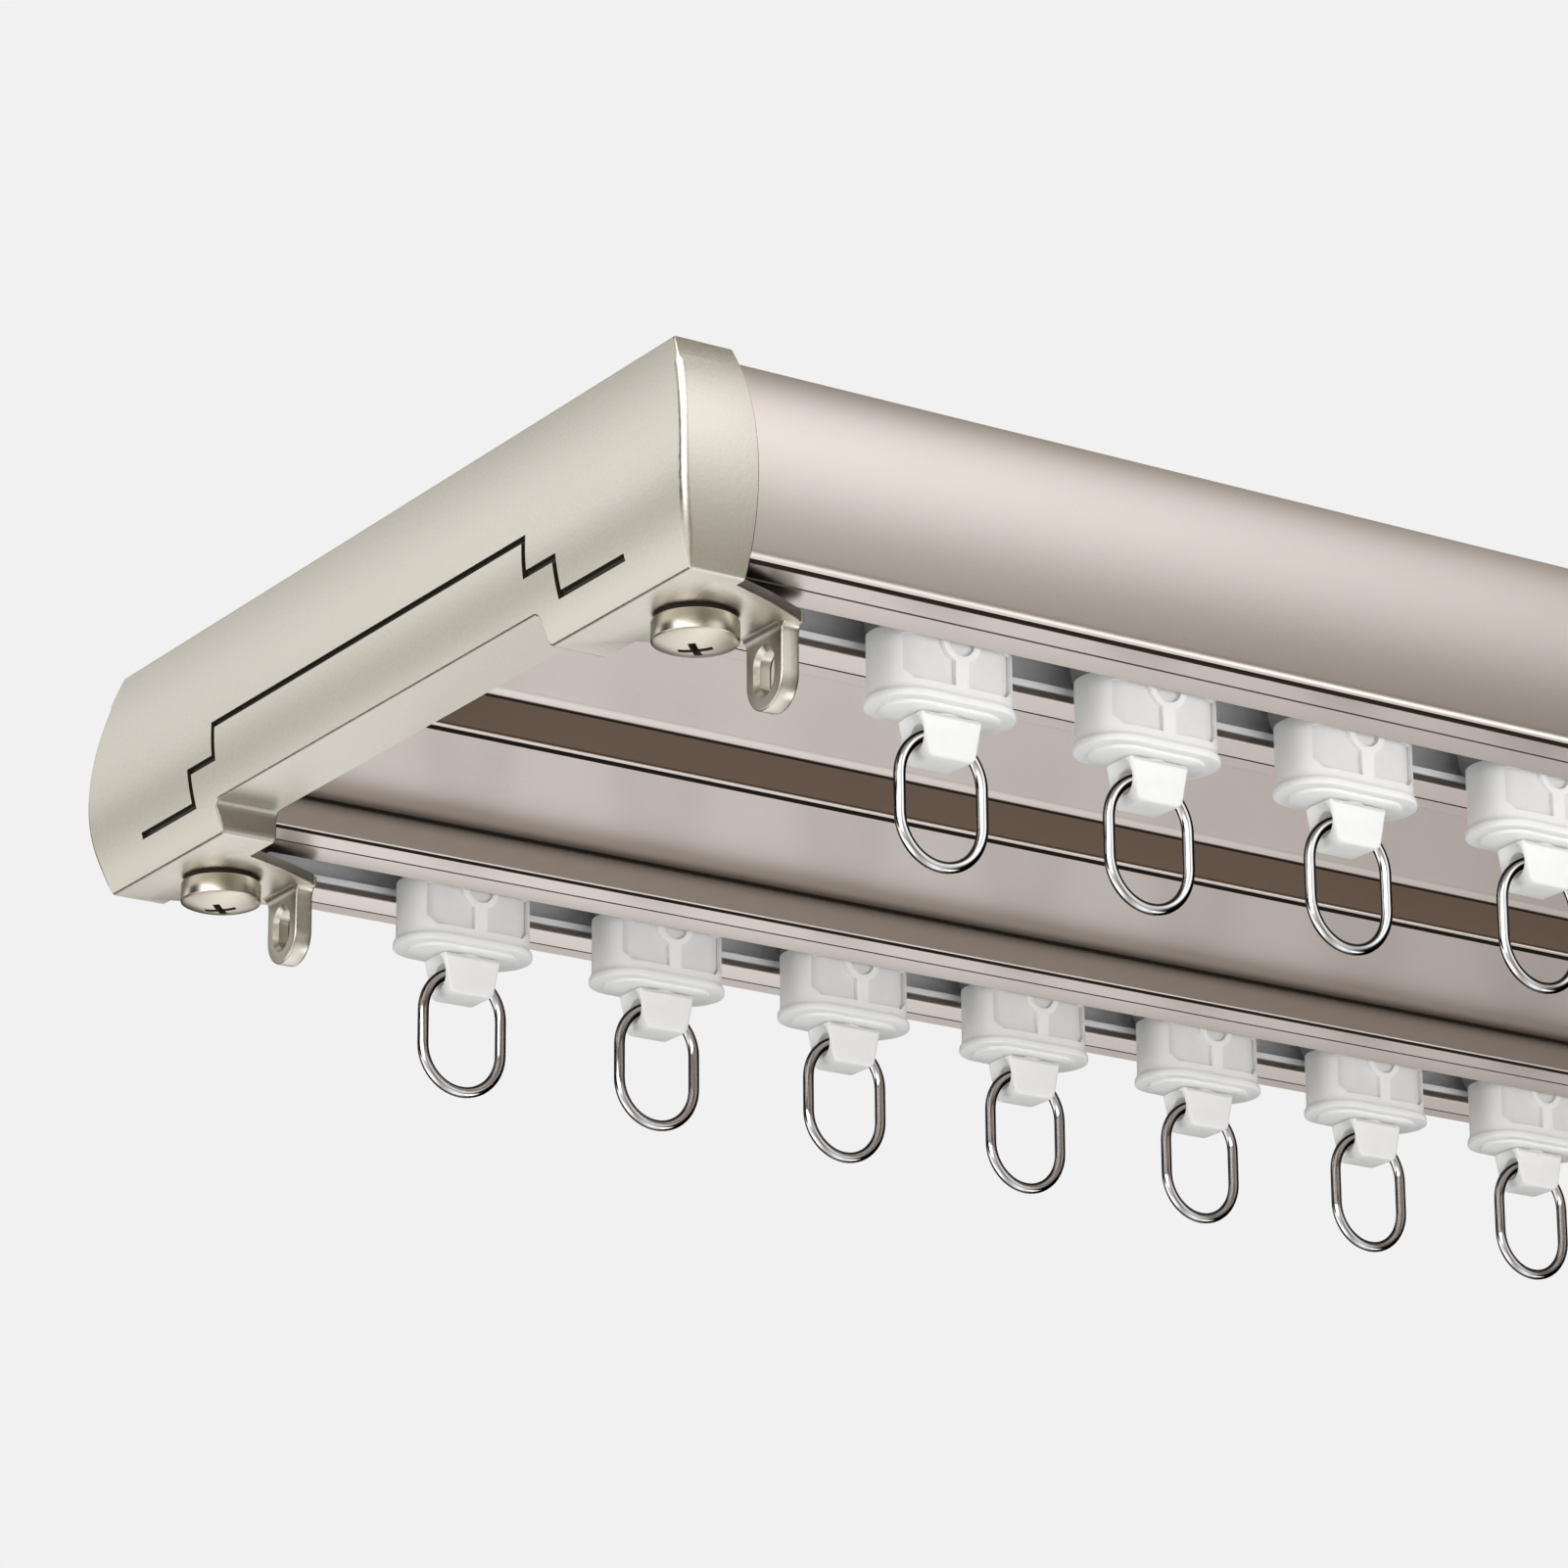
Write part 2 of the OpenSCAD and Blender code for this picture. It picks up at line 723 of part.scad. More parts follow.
// Side view of the hook block
module hook_outline() {
    top = z_hook;
    slope = (hook_top - hook_foot) / 2 / (top - z_foot);
    half_up = hook_foot / 2 + slope * hook_round;
    polygon([
        [-hook_top / 2, top],
        [-half_up, z_foot + hook_round],
        [-hook_foot / 2 + hook_round, z_foot],
        [hook_foot / 2 - hook_round, z_foot],
        [half_up, z_foot + hook_round],
        [hook_top / 2, top]
    ]);
    for (s = [-1, 1])
        translate([s * (hook_foot / 2 - hook_round), z_foot + hook_round]) circle(hook_round);
}

module swivel(side, n)
    color([0.96, 0.96, 0.95])
        at_glider(side, n)
            difference() {
                union() {
                    along_y(-hook_t / 2, hook_t / 2) hook_outline();
                    translate([0, 0, z_hook - eps])
                        cylinder(h = z_stem_top - z_hook + eps, r = stem_r);
                    translate([0, 0, z_stem_top - stem_head_h])
                        cylinder(h = stem_head_h, r = stem_head_r);
                }
                translate([0, 0, z_ring_axis])
                    rotate([0, 90, 0]) cylinder(h = hook_top + 2, r = ring_bore_r, center = true);
                for (s = [-1, 1])
                    translate([s * bore_mouth, 0, z_ring_axis])
                        rotate([0, s * 90, 0])
                            cylinder(h = 2 * bore_bevel, r1 = ring_bore_r - bore_bevel,
                                     r2 = ring_bore_r + bore_bevel, center = true);
            }

module ring(side, n)
    color([0.82, 0.83, 0.85])
        at_glider(side, n)
            translate([0, 0, z_ring_axis + ring_sag - ring_r]) {
                rotate([90, 0, 0])
                    rotate_extrude(angle = 180, $fn = 96)
                        translate([ring_r, 0]) circle(d = wire_d);
                for (s = [-1, 1])
                    translate([s * ring_r, 0, -ring_side]) cylinder(h = ring_side, d = wire_d);
                translate([0, 0, -ring_side])
                    rotate([-90, 0, 0])
                        rotate_extrude(angle = 180, $fn = 96)
                            translate([ring_r, 0]) circle(d = wire_d);
            }

rail();
cover_strip();
liner(-1);  // front_liner
liner(1);  // back_liner
end_cap_left();
end_cap_right();
cap_screws();
cap_nuts();
carriage(-1, 1);  // front_carriage_1
wheels(-1, 1);  // front_wheels_1
swivel(-1, 1);  // front_swivel_1
ring(-1, 1);  // front_ring_1
carriage(-1, 2);  // front_carriage_2
wheels(-1, 2);  // front_wheels_2
swivel(-1, 2);  // front_swivel_2
ring(-1, 2);  // front_ring_2
carriage(-1, 3);  // front_carriage_3
wheels(-1, 3);  // front_wheels_3
swivel(-1, 3);  // front_swivel_3
ring(-1, 3);  // front_ring_3
carriage(-1, 4);  // front_carriage_4
wheels(-1, 4);  // front_wheels_4
swivel(-1, 4);  // front_swivel_4
ring(-1, 4);  // front_ring_4
carriage(-1, 5);  // front_carriage_5
wheels(-1, 5);  // front_wheels_5
swivel(-1, 5);  // front_swivel_5
ring(-1, 5);  // front_ring_5
carriage(1, 1);  // back_carriage_1
wheels(1, 1);  // back_wheels_1
swivel(1, 1);  // back_swivel_1
ring(1, 1);  // back_ring_1
carriage(1, 2);  // back_carriage_2
wheels(1, 2);  // back_wheels_2
swivel(1, 2);  // back_swivel_2
ring(1, 2);  // back_ring_2
carriage(1, 3);  // back_carriage_3
wheels(1, 3);  // back_wheels_3
swivel(1, 3);  // back_swivel_3
ring(1, 3);  // back_ring_3
carriage(1, 4);  // back_carriage_4
wheels(1, 4);  // back_wheels_4
swivel(1, 4);  // back_swivel_4
ring(1, 4);  // back_ring_4
carriage(1, 5);  // back_carriage_5
wheels(1, 5);  // back_wheels_5
swivel(1, 5);  // back_swivel_5
ring(1, 5);  // back_ring_5
carriage(1, 6);  // back_carriage_6
wheels(1, 6);  // back_wheels_6
swivel(1, 6);  // back_swivel_6
ring(1, 6);  // back_ring_6
carriage(1, 7);  // back_carriage_7
wheels(1, 7);  // back_wheels_7
swivel(1, 7);  // back_swivel_7
ring(1, 7);  // back_ring_7
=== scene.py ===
"""Looks of a double curtain track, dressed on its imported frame.

Sizes are in millimetres, in the frame of the construction: X along the track, Y from the room
side to the wall side, Z up from the ceiling face. They turn into metres when a piece is finished.
"""
import json
import logging
import math
from collections.abc import Callable, Sequence
from dataclasses import dataclass, field
from enum import Enum

import bmesh
import bpy
from mathutils import Matrix, Vector

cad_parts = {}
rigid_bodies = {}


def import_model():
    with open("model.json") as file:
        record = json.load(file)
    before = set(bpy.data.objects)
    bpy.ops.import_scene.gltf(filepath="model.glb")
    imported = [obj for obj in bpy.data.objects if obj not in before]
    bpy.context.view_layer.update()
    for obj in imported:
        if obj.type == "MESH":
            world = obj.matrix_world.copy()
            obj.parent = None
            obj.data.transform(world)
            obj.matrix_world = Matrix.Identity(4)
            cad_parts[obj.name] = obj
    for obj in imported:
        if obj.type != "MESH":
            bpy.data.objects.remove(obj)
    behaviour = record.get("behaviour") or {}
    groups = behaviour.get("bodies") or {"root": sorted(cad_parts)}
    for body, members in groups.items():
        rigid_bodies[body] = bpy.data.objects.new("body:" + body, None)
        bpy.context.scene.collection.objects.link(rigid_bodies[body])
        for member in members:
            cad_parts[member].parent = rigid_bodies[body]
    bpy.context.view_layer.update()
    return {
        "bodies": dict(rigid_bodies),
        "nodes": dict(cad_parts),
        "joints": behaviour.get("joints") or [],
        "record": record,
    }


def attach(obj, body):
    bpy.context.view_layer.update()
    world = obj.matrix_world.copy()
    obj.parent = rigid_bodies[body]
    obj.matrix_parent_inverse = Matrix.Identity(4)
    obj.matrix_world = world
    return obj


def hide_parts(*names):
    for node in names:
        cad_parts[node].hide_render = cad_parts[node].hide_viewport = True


MM = 0.001
GRID = 4096.0
# Distance that keeps two faces out of one plane, and how far a cutter reaches past a face
CLEAR = 0.004
OVER = 1.0
# Below this a distance counts as none
TINY = 1e-9

Point = tuple[float, float]
Colour = tuple[float, float, float]

log = logging.getLogger("curtain_track")


class Side(Enum):
    """The two rows of gliders, with the sign of their side along Y."""

    FRONT = -1
    BACK = 1

    @property
    def word(self) -> str:
        """Name of the row in node and body names."""
        return self.name.lower()


class Join(Enum):
    """Ways in which two solids are brought together."""

    CUT = "DIFFERENCE"
    FUSE = "UNION"


# Outlines


def arc(centre: Point, radius: float, start: float, stop: float, steps: int) -> list[Point]:
    """Points along a circle.

    Args:
        centre: Centre of the circle.
        radius: Its radius.
        start: First angle in degrees.
        stop: Last angle in degrees.
        steps: Number of stretches between the two.

    Returns:
        The points, both ends included.
    """
    angles = (math.radians(start + (stop - start) * i / steps) for i in range(steps + 1))
    return [(centre[0] + radius * math.cos(a), centre[1] + radius * math.sin(a)) for a in angles]


def flipped(run: Sequence[Point]) -> list[Point]:
    """Run of points mirrored left to right, in reverse order so that it turns the same way."""
    return [(-y, z) for y, z in reversed(run)]


def mirrored(half: Sequence[Point]) -> list[Point]:
    """Whole outline from its right half, which runs from the foot to the top.

    Args:
        half: Points with a first value of 0 or more, anticlockwise.

    Returns:
        The closed outline, anticlockwise, each point once.
    """
    return list(half) + [(y, z) for y, z in flipped(half) if y < -TINY]


def rounded(points: Sequence[Point], radii: dict[int, float], steps: int = 4) -> list[Point]:
    """Rounds chosen corners of an open run of points.

    Args:
        points: The run, whose two ends are never rounded.
        radii: Radius for each index that is a corner to round.
        steps: Stretches in each round.

    Returns:
        The run with its corners rounded.
    """
    most = 0.48
    result: list[Point] = []
    for i, here in enumerate(points):
        if i not in radii:
            result.append(here)
            continue
        corner = Vector(here)
        back = Vector(points[i - 1]) - corner
        ahead = Vector(points[i + 1]) - corner
        half = back.angle(ahead) / 2
        reach = min(radii[i] / math.tan(half), most * back.length, most * ahead.length)
        radius = reach * math.tan(half)
        first = corner + back.normalized() * reach
        last = corner + ahead.normalized() * reach
        centre = corner + (back.normalized() + ahead.normalized()).normalized() * radius / math.sin(half)
        begin, end = first - centre, last - centre
        for k in range(steps + 1):
            along = begin.lerp(end, k / steps)
            if along.length > TINY:
                spot = centre + along.normalized() * radius
                result.append((spot.x, spot.y))
    return result


def inset(points: Sequence[Point], depths: Sequence[float]) -> list[Point]:
    """Moves every point of a closed anticlockwise outline inwards.

    Args:
        points: The outline.
        depths: How far each point moves, measured square to its two neighbours' line.

    Returns:
        The smaller outline, with as many points.
    """
    result = []
    count = len(points)
    for i, here in enumerate(points):
        spot = Vector(here)
        before = (spot - Vector(points[i - 1])).normalized()
        after = (Vector(points[(i + 1) % count]) - spot).normalized()
        normal = Vector((-before.y - after.y, before.x + after.x)).normalized()
        stretch = max(0.5, normal.dot(Vector((-after.y, after.x))))
        moved = spot + normal * depths[i] / stretch
        result.append((moved.x, moved.y))
    return result


def stroke(path: Sequence[Point], width: float) -> list[Point]:
    """Outline of a line of even width along an open path, with mitred corners.

    Args:
        path: Centre line.
        width: Width of the line.

    Returns:
        The closed outline.
    """
    sides: tuple[list[Point], list[Point]] = ([], [])
    for i, here in enumerate(path):
        spot = Vector(here)
        before = (spot - Vector(path[i - 1])).normalized() if i else None
        after = (Vector(path[i + 1]) - spot).normalized() if i + 1 < len(path) else None
        before = before or after
        after = after or before
        normal = Vector((-before.y - after.y, before.x + after.x)).normalized()
        reach = width / 2 / normal.dot(Vector((-after.y, after.x)))
        for sign, run in zip((1, -1), sides):
            moved = spot + normal * reach * sign
            run.append((moved.x, moved.y))
    return sides[1] + sides[0][::-1]


# Solids, in millimetres


def snap(place: Sequence[float]) -> Vector:
    """Moves a place to a fine grid, so that flat faces stay exactly flat when solids are joined."""
    return Vector([round(value * GRID) / GRID for value in place])


def skin(mesh: bmesh.types.BMesh, rows: Sequence[Sequence[bmesh.types.BMVert]]) -> None:
    """Lays faces between neighbouring rings of points.

    Args:
        mesh: Where the faces go.
        rows: The rings, which all have equally many points.
    """
    for low, high in zip(rows, rows[1:]):
        for i, corner in enumerate(low):
            j = (i + 1) % len(low)
            mesh.faces.new((corner, low[j], high[j], high[i]))


def loft(rings: Sequence[Sequence[Vector]]) -> bmesh.types.BMesh:
    """Closed skin over rings that have equally many points.

    Args:
        rings: The rings, from one end to the other.

    Returns:
        The mesh.
    """
    mesh = bmesh.new()
    rows = [[mesh.verts.new(snap(p)) for p in ring] for ring in rings]
    skin(mesh, rows)
    mesh.faces.new(list(reversed(rows[0])))
    mesh.faces.new(rows[-1])
    bmesh.ops.recalc_face_normals(mesh, faces=mesh.faces)
    return mesh


def layers(outline: Sequence[Point], place: Callable[[float, float, float], Vector],
           steps: Sequence[tuple[float, float]]) -> bmesh.types.BMesh:
    """Solid of one outline in layers, each drawn in by its own amount.

    Args:
        outline: Closed outline, anticlockwise.
        place: Turns an outline point and a height into a place.
        steps: Height of each layer and how far its outline is drawn in.

    Returns:
        The closed mesh, with its two ends cut into triangles.
    """
    mesh = bmesh.new()
    flats = [inset(outline, [depth] * len(outline)) if depth else outline for _, depth in steps]
    rows = [[mesh.verts.new(snap(place(a, b, height))) for a, b in flat]
            for flat, (height, _) in zip(flats, steps)]
    skin(mesh, rows)
    ends = [mesh.faces.new(rows[0][::-1]), mesh.faces.new(rows[-1])]
    mesh.normal_update()
    bmesh.ops.triangulate(mesh, faces=ends, ngon_method="EAR_CLIP")
    bmesh.ops.recalc_face_normals(mesh, faces=mesh.faces)
    return mesh


def prism(outline: Sequence[Point], place: Callable[[float, float, float], Vector],
          low: float, high: float, edge: tuple[float, float] = (0.0, 0.0)) -> bmesh.types.BMesh:
    """Straight solid over an outline.

    Args:
        outline: Closed outline, anticlockwise.
        place: Turns an outline point and a height into a place.
        low: First height.
        high: Last height.
        edge: How far the edge at each of the two ends is rounded.

    Returns:
        The mesh.
    """
    rounds = []
    for reach in edge:
        turns = [math.radians(a) for a in ((0, 30, 60, 90) if reach else (90,))]
        rounds.append([(reach * (1 - math.cos(a)), reach * (1 - math.sin(a))) for a in turns])
    first = [(low + rise, depth) for rise, depth in rounds[0]]
    last = [(high - rise, depth) for rise, depth in reversed(rounds[1])]
    return layers(outline, place, first + last)


def along_x(y: float, z: float, x: float) -> Vector:
    """Place of a section's point at a distance along the track."""
    return Vector((x, y, z))


def along_y(x: float, z: float, y: float) -> Vector:
    """Place of a side view's point at a distance across the track."""
    return Vector((x, y, z))


def along_z(x: float, y: float, z: float) -> Vector:
    """Place of a plan's point at a height."""
    return Vector((x, y, z))


def turned(profile: Sequence[Point], steps: int = 64) -> bmesh.types.BMesh:
    """Solid of revolution about the upright axis.

    Args:
        profile: Radius and height of each point, the first and last on the axis.
        steps: Points in each ring.

    Returns:
        The closed mesh.
    """
    mesh = bmesh.new()
    foot = mesh.verts.new(snap((0, 0, profile[0][1])))
    top = mesh.verts.new(snap((0, 0, profile[-1][1])))
    rows = [[mesh.verts.new(snap((x, y, height))) for x, y in arc((0, 0), radius, 0, 360, steps)[:-1]]
            for radius, height in profile[1:-1]]
    skin(mesh, rows)
    for i in range(steps):
        j = (i + 1) % steps
        mesh.faces.new((foot, rows[0][j], rows[0][i]))
        mesh.faces.new((top, rows[-1][i], rows[-1][j]))
    bmesh.ops.recalc_face_normals(mesh, faces=mesh.faces)
    return mesh


def oval(length: float, width: float, steps: int = 18) -> list[Point]:
    """Long oval with round ends.

    Args:
        length: Overall length.
        width: Overall width.
        steps: Stretches in each round end.

    Returns:
        The closed outline, anticlockwise.
    """
    reach = (length - width) / 2
    return arc((reach, 0), width / 2, -90, 90, steps) + arc((-reach, 0), width / 2, 90, 270, steps)


def rod(radius: float, start: Sequence[float], stop: Sequence[float], steps: int = 48) -> bmesh.types.BMesh:
    """Round bar from one point to another."""
    mesh = bmesh.new()
    way = Vector(stop) - Vector(start)
    turn = way.to_track_quat("Z", "Y").to_matrix().to_4x4()
    middle = Matrix.Translation((Vector(start) + Vector(stop)) / 2)
    bmesh.ops.create_cone(mesh, cap_ends=True, segments=steps, radius1=radius, radius2=radius,
                          depth=way.length, matrix=middle @ turn)
    for vertex in mesh.verts:
        vertex.co = snap(vertex.co)
    return mesh


def flared(near: float, far: float, bevel: float) -> list[Point]:
    """Stations of a bore that is bevelled at both ends.

    Args:
        near: First face that it opens in.
        far: Last face that it opens in.
        bevel: Size of the bevel.

    Returns:
        Place along the bore and widening at each station.
    """
    return [(near - OVER, OVER + bevel), (near + bevel, 0), (far - bevel, 0), (far + OVER, OVER + bevel)]


def put(name: str, data: bpy.types.ID) -> bpy.types.Object:
    """New object in the scene.

    Args:
        name: Its name.
        data: Its mesh, camera or lamp.

    Returns:
        The object.
    """
    item = bpy.data.objects.new(name, data)
    bpy.context.scene.collection.objects.link(item)
    return item


class Workshop:
    """Brings rough solids together and turns them into finished pieces."""

    def __init__(self) -> None:
        """Keeps a bench of the objects that are only tools."""
        self.bench: list[bpy.types.Object] = []

    def lay(self, mesh: bmesh.types.BMesh, *materials: bpy.types.Material) -> bpy.types.Object:
        """Puts a solid on the bench as an object, still in millimetres.

        Args:
            mesh: The solid, which is used up.
            materials: What its faces are made of, in the order of their material numbers.

        Returns:
            The object.
        """
        data = bpy.data.meshes.new("bench")
        mesh.to_mesh(data)
        mesh.free()
        for material in materials:
            data.materials.append(material)
        item = put("bench", data)
        self.bench.append(item)
        return item

    def join(self, item: bpy.types.Object, how: Join, *tools: bpy.types.Object) -> bpy.types.Object:
        """Cuts tools out of an item, or fuses them with it."""
        for tool in tools:
            step = item.modifiers.new("join", "BOOLEAN")
            step.operation = how.value
            step.solver = "EXACT"
            step.object = tool
            step.material_mode = "TRANSFER"
        return item

    def result(self, item: bpy.types.Object) -> bpy.types.Mesh:
        """Mesh of an item with all its steps applied, in millimetres."""
        bpy.context.view_layer.update()
        ready = item.evaluated_get(bpy.context.evaluated_depsgraph_get())
        return bpy.data.meshes.new_from_object(ready)

    def again(self, item: bpy.types.Object) -> bpy.types.Object:
        """New bench item from an item's result."""
        fresh = put("bench", self.result(item))
        self.bench.append(fresh)
        return fresh

    def finish(self, name: str, item: bpy.types.Object, body: str, nodes: Sequence[str], slot: str,
               move: Sequence[float] = (0, 0, 0), smooth: float = 38) -> bpy.types.Object:
        """Finished piece in metres, at its place, on its body.

        Args:
            name: Name of the piece.
            item: Bench item.
            body: Body that it rides on.
            nodes: Nodes of the construction that it stands for.
            slot: Material slot of the record; not used.
            move: Where the item's origin goes, in millimetres.
            smooth: Greatest angle in degrees that is shaded smooth.

        Returns:
            The piece.
        """
        data = self.result(item)
        data.name = name
        data.transform(Matrix.Diagonal((MM, MM, MM, 1)) @ Matrix.Translation(move))
        data.shade_smooth()
        data.set_sharp_from_angle(angle=math.radians(smooth))
        piece = put(name, data)
        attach(piece, body)
        if nodes:
            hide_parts(*nodes)
        log.info("%s: %d faces on %s", name, len(data.polygons), body)
        return piece

    def clear(self) -> None:
        """Takes the tools off the bench."""
        for item in self.bench:
            data = item.data
            bpy.data.objects.remove(item)
            bpy.data.meshes.remove(data)
        self.bench.clear()


# Sizes of the construction


@dataclass(frozen=True)
class Track:
    """The aluminium section, its cover strip and its ceiling holes."""

    length: float = 600.0
    width: float = 138.0
    height: float = 25.5
    channel_pitch: float = 106.4
    face_radius: float = 25.2
    face_up: float = 9.6
    wall: float = 1.2
    top_step: float = 1.2
    slot: float = 9.9
    lip_flat: float = 4.84
    lip_band: float = 4.2
    lip_rise: float = 0.3
    lip_thick: float = 1.0
    channel_width: float = 21.8
    channel_height: float = 11.1
    groove_foot: float = 0.3
    groove_width: float = 0.55
    groove_deep: float = 0.9
    foot_lift: float = 0.16
    face_rim: float = 1.5
    crease: float = 0.42
    crease_deep: float = 0.2
    web_up: float = 4.44
    hole: float = 5.0
    hole_pitch: float = 240.0
    strip_width: float = 12.2
    strip_thick: float = 1.2
    rib_proud: float = 0.4
    strip_in: float = 0.3
    strip_rib: float = 0.8
    slope_long: float = 0.9
    strip_edge: float = 0.7
    pry_width: float = 2.2
    pry_deep: float = 0.8
    corner_relief: float = 0.9
    bead_out: float = 0.25
    bead_high: float = 0.5
    fit: float = 0.05
    cap_over: float = 5.9
    strip_gap: float = 0.4
    sight_run: float = 2.44
    rim_start: float = 0.45
    rib_round: float = 0.22
    wall_round: float = 0.15
    slot_round: float = 0.18
    shade_start: float = 4.3
    shade_stop: float = 0.25

    @property
    def end(self) -> float:
        """Distance from the middle to an end of the section."""
        return self.length / 2

    @property
    def lip(self) -> float:
        """Height of the underside of the lips."""
        return -self.height

    @property
    def web(self) -> float:
        """Height of the underside of the web."""
        return self.lip + self.web_up

    @property
    def face(self) -> float:
        """Height of the widest point of the faces."""
        return self.lip + self.face_up

    @property
    def channel(self) -> float:
        """Distance of a channel's centre line from the middle."""
        return self.channel_pitch / 2

    @property
    def face_centre(self) -> float:
        """Distance of the centre of a face's circle from the middle."""
        return self.width / 2 - self.face_radius

    @property
    def web_end(self) -> float:
        """Half width of the web."""
        return self.channel - self.lip_half

    @property
    def lip_half(self) -> float:
        """Half width of a channel over its lips."""
        return self.slot / 2 + self.lip_flat + self.lip_band

    @property
    def strip_foot(self) -> float:
        """Height of the underside of the cover strip."""
        return self.web - self.rib_proud + self.strip_in

    @property
    def bead_foot(self) -> float:
        """Height of the underside of the strip's bead."""
        return self.strip_foot + (self.strip_thick - self.bead_high) / 2

    @property
    def wall_foot(self) -> float:
        """Height at which the sloping bands of the lips would meet the walls."""
        return self.lip + self.lip_rise

    @property
    def face_foot(self) -> float:
        """Distance of the foot of a rounded face from the middle."""
        drop = self.face_up - self.lip_rise
        return self.face_centre + math.sqrt(self.face_radius ** 2 - drop ** 2)

    @property
    def rim_height(self) -> float:
        """Height of the centre of the round at the foot of a face."""
        return self.wall_foot + self.foot_lift + self.face_rim

    @property
    def rim_angle(self) -> float:
        """Angle in degrees at which the round of the rim meets the face's circle."""
        return math.degrees(math.asin((self.rim_height - self.face) / (self.face_radius - self.face_rim)))

    @property
    def web_shade(self) -> tuple[float, float, float]:
        """Where the shade in the web's corners starts and stops, and its height."""
        return self.web_end - self.shade_start, self.web_end - self.shade_stop, self.web

    def rim(self) -> list[Point]:
        """Round between the groove's edge and the face, tangent to the face's circle."""
        height = self.rim_height
        out = math.sqrt((self.face_radius - self.face_rim) ** 2 - (height - self.face) ** 2)
        centre = (self.face_centre + out, height)
        first = -math.degrees(math.acos((self.face_foot - self.rim_start - centre[0]) / self.face_rim))
        return arc(centre, self.face_rim, first, self.rim_angle, 10)

    def face_angle(self, radius: float, height: float) -> float:
        """Angle on a face's circle, in degrees, at a height."""
        return math.degrees(math.asin((height - self.face) / radius))

    def lower_half(self) -> list[Point]:
        """Right half of the section from the middle of the web to the foot of the rounded face."""
        rib = self.strip_width / 2
        pocket = self.strip_foot + self.strip_thick + self.fit
        bead = rib + self.bead_out + self.fit
        rib_foot = self.web - self.rib_proud
        floor = self.lip + self.lip_thick
        inside = self.channel_width / 2
        slot = self.slot / 2
        half_groove = self.groove_foot + self.groove_width / 2
        lifted = self.wall_foot + self.foot_lift
        points = [
            (0, pocket), (rib, pocket),
            (rib, self.bead_foot + self.bead_high + self.fit),
            (bead, self.bead_foot + self.bead_high + self.fit),
            (bead, self.bead_foot - self.fit), (rib, self.bead_foot - self.fit),
            (rib, rib_foot), (rib + self.strip_rib, rib_foot),
            (rib + self.strip_rib, self.web), (self.web_end, self.web),
            (self.web_end, lifted), (self.web_end + half_groove, lifted),
            (self.web_end + half_groove, self.wall_foot - self.lip_rise * half_groove / self.lip_band),
            (self.channel - slot - self.lip_flat, self.lip), (self.channel - slot, self.lip),
            (self.channel - slot, floor), (self.channel - inside, floor),
            (self.channel - inside, floor + self.channel_height),
            (self.channel + inside, floor + self.channel_height),
            (self.channel + inside, floor), (self.channel + slot, floor),
            (self.channel + slot, self.lip), (self.channel + slot + self.lip_flat, self.lip),
            (self.face_foot - half_groove, self.wall_foot - self.lip_rise * half_groove / self.lip_band),
            (self.face_foot - half_groove, lifted),
        ]
        rounds = {6: self.rib_round, 7: self.rib_round, 10: self.wall_round}
        rounds |= dict.fromkeys((14, 15, 20, 21), self.slot_round)
        return rounded(points, rounds) + self.rim()

    def grooves(self) -> list[list[Point]]:
        """Sections of the grooves: near and far from the web, both mirrored, pry groove, web's corners."""
        foot, width = self.groove_foot, self.groove_width
        shape = [(foot, -OVER), (foot, self.foot_lift), (foot + width / 2, self.groove_deep),
                 (foot + width, self.groove_deep), (foot + width, -OVER)]
        near = [(self.web_end + y, self.wall_foot + z) for y, z in reversed(shape)]
        far = [(self.face_foot - y, self.wall_foot + z) for y, z in shape]
        rib = self.strip_width / 2 + self.strip_rib + CLEAR
        pry = [(rib, self.web - 0.01), (rib + self.pry_width, self.web - OVER),
               (rib + self.pry_width, self.web + self.pry_deep), (rib, self.web + self.pry_deep)]
        relief = self.web_end - self.corner_relief
        corner = [(relief, self.web - 0.3), (self.web_end + 0.1, self.web - 0.12),
                  (self.web_end + 0.1, self.web + 0.5), (relief + 0.2, self.web + 0.4)]
        return [near, far, flipped(near), flipped(far), pry, corner, flipped(corner)]

    def slope(self) -> list[Point]:
        """Section of the gentle slope from the web down to the rib on the room side."""
        rib = self.strip_width / 2 + self.strip_rib
        return [(-rib - self.slope_long, self.web + 0.05), (-rib - self.slope_long, self.web - 0.01),
                (-rib, self.web - self.rib_proud), (-rib + 0.3, self.web - self.rib_proud + 0.02),
                (-rib + 0.3, self.web + 0.05)]

    def creases(self) -> list[list[Point]]:
        """Sections of the fine lines in the lips, where a flat band meets a sloping one."""
        half = self.crease / 2
        reach = self.slot / 2 + self.lip_flat
        places = [side * (self.channel + out * reach) for side in (-1, 1) for out in (-1, 1)]
        low, high = self.lip - OVER, self.lip + self.crease_deep
        return [[(y - half, low), (y + half, low), (y + half, high), (y - half, high)] for y in places]

    def outline(self) -> list[Point]:
        """Whole outline of the section, channels included."""
        stop = self.face_angle(self.face_radius, -self.top_step)
        side = arc((self.face_centre, self.face), self.face_radius, self.rim_angle, stop, 56)[1:]
        middle = self.web_end + self.wall
        top = [(middle, -self.top_step), (middle, 0.0), (0.0, 0.0)]
        return mirrored(self.lower_half() + side + top)


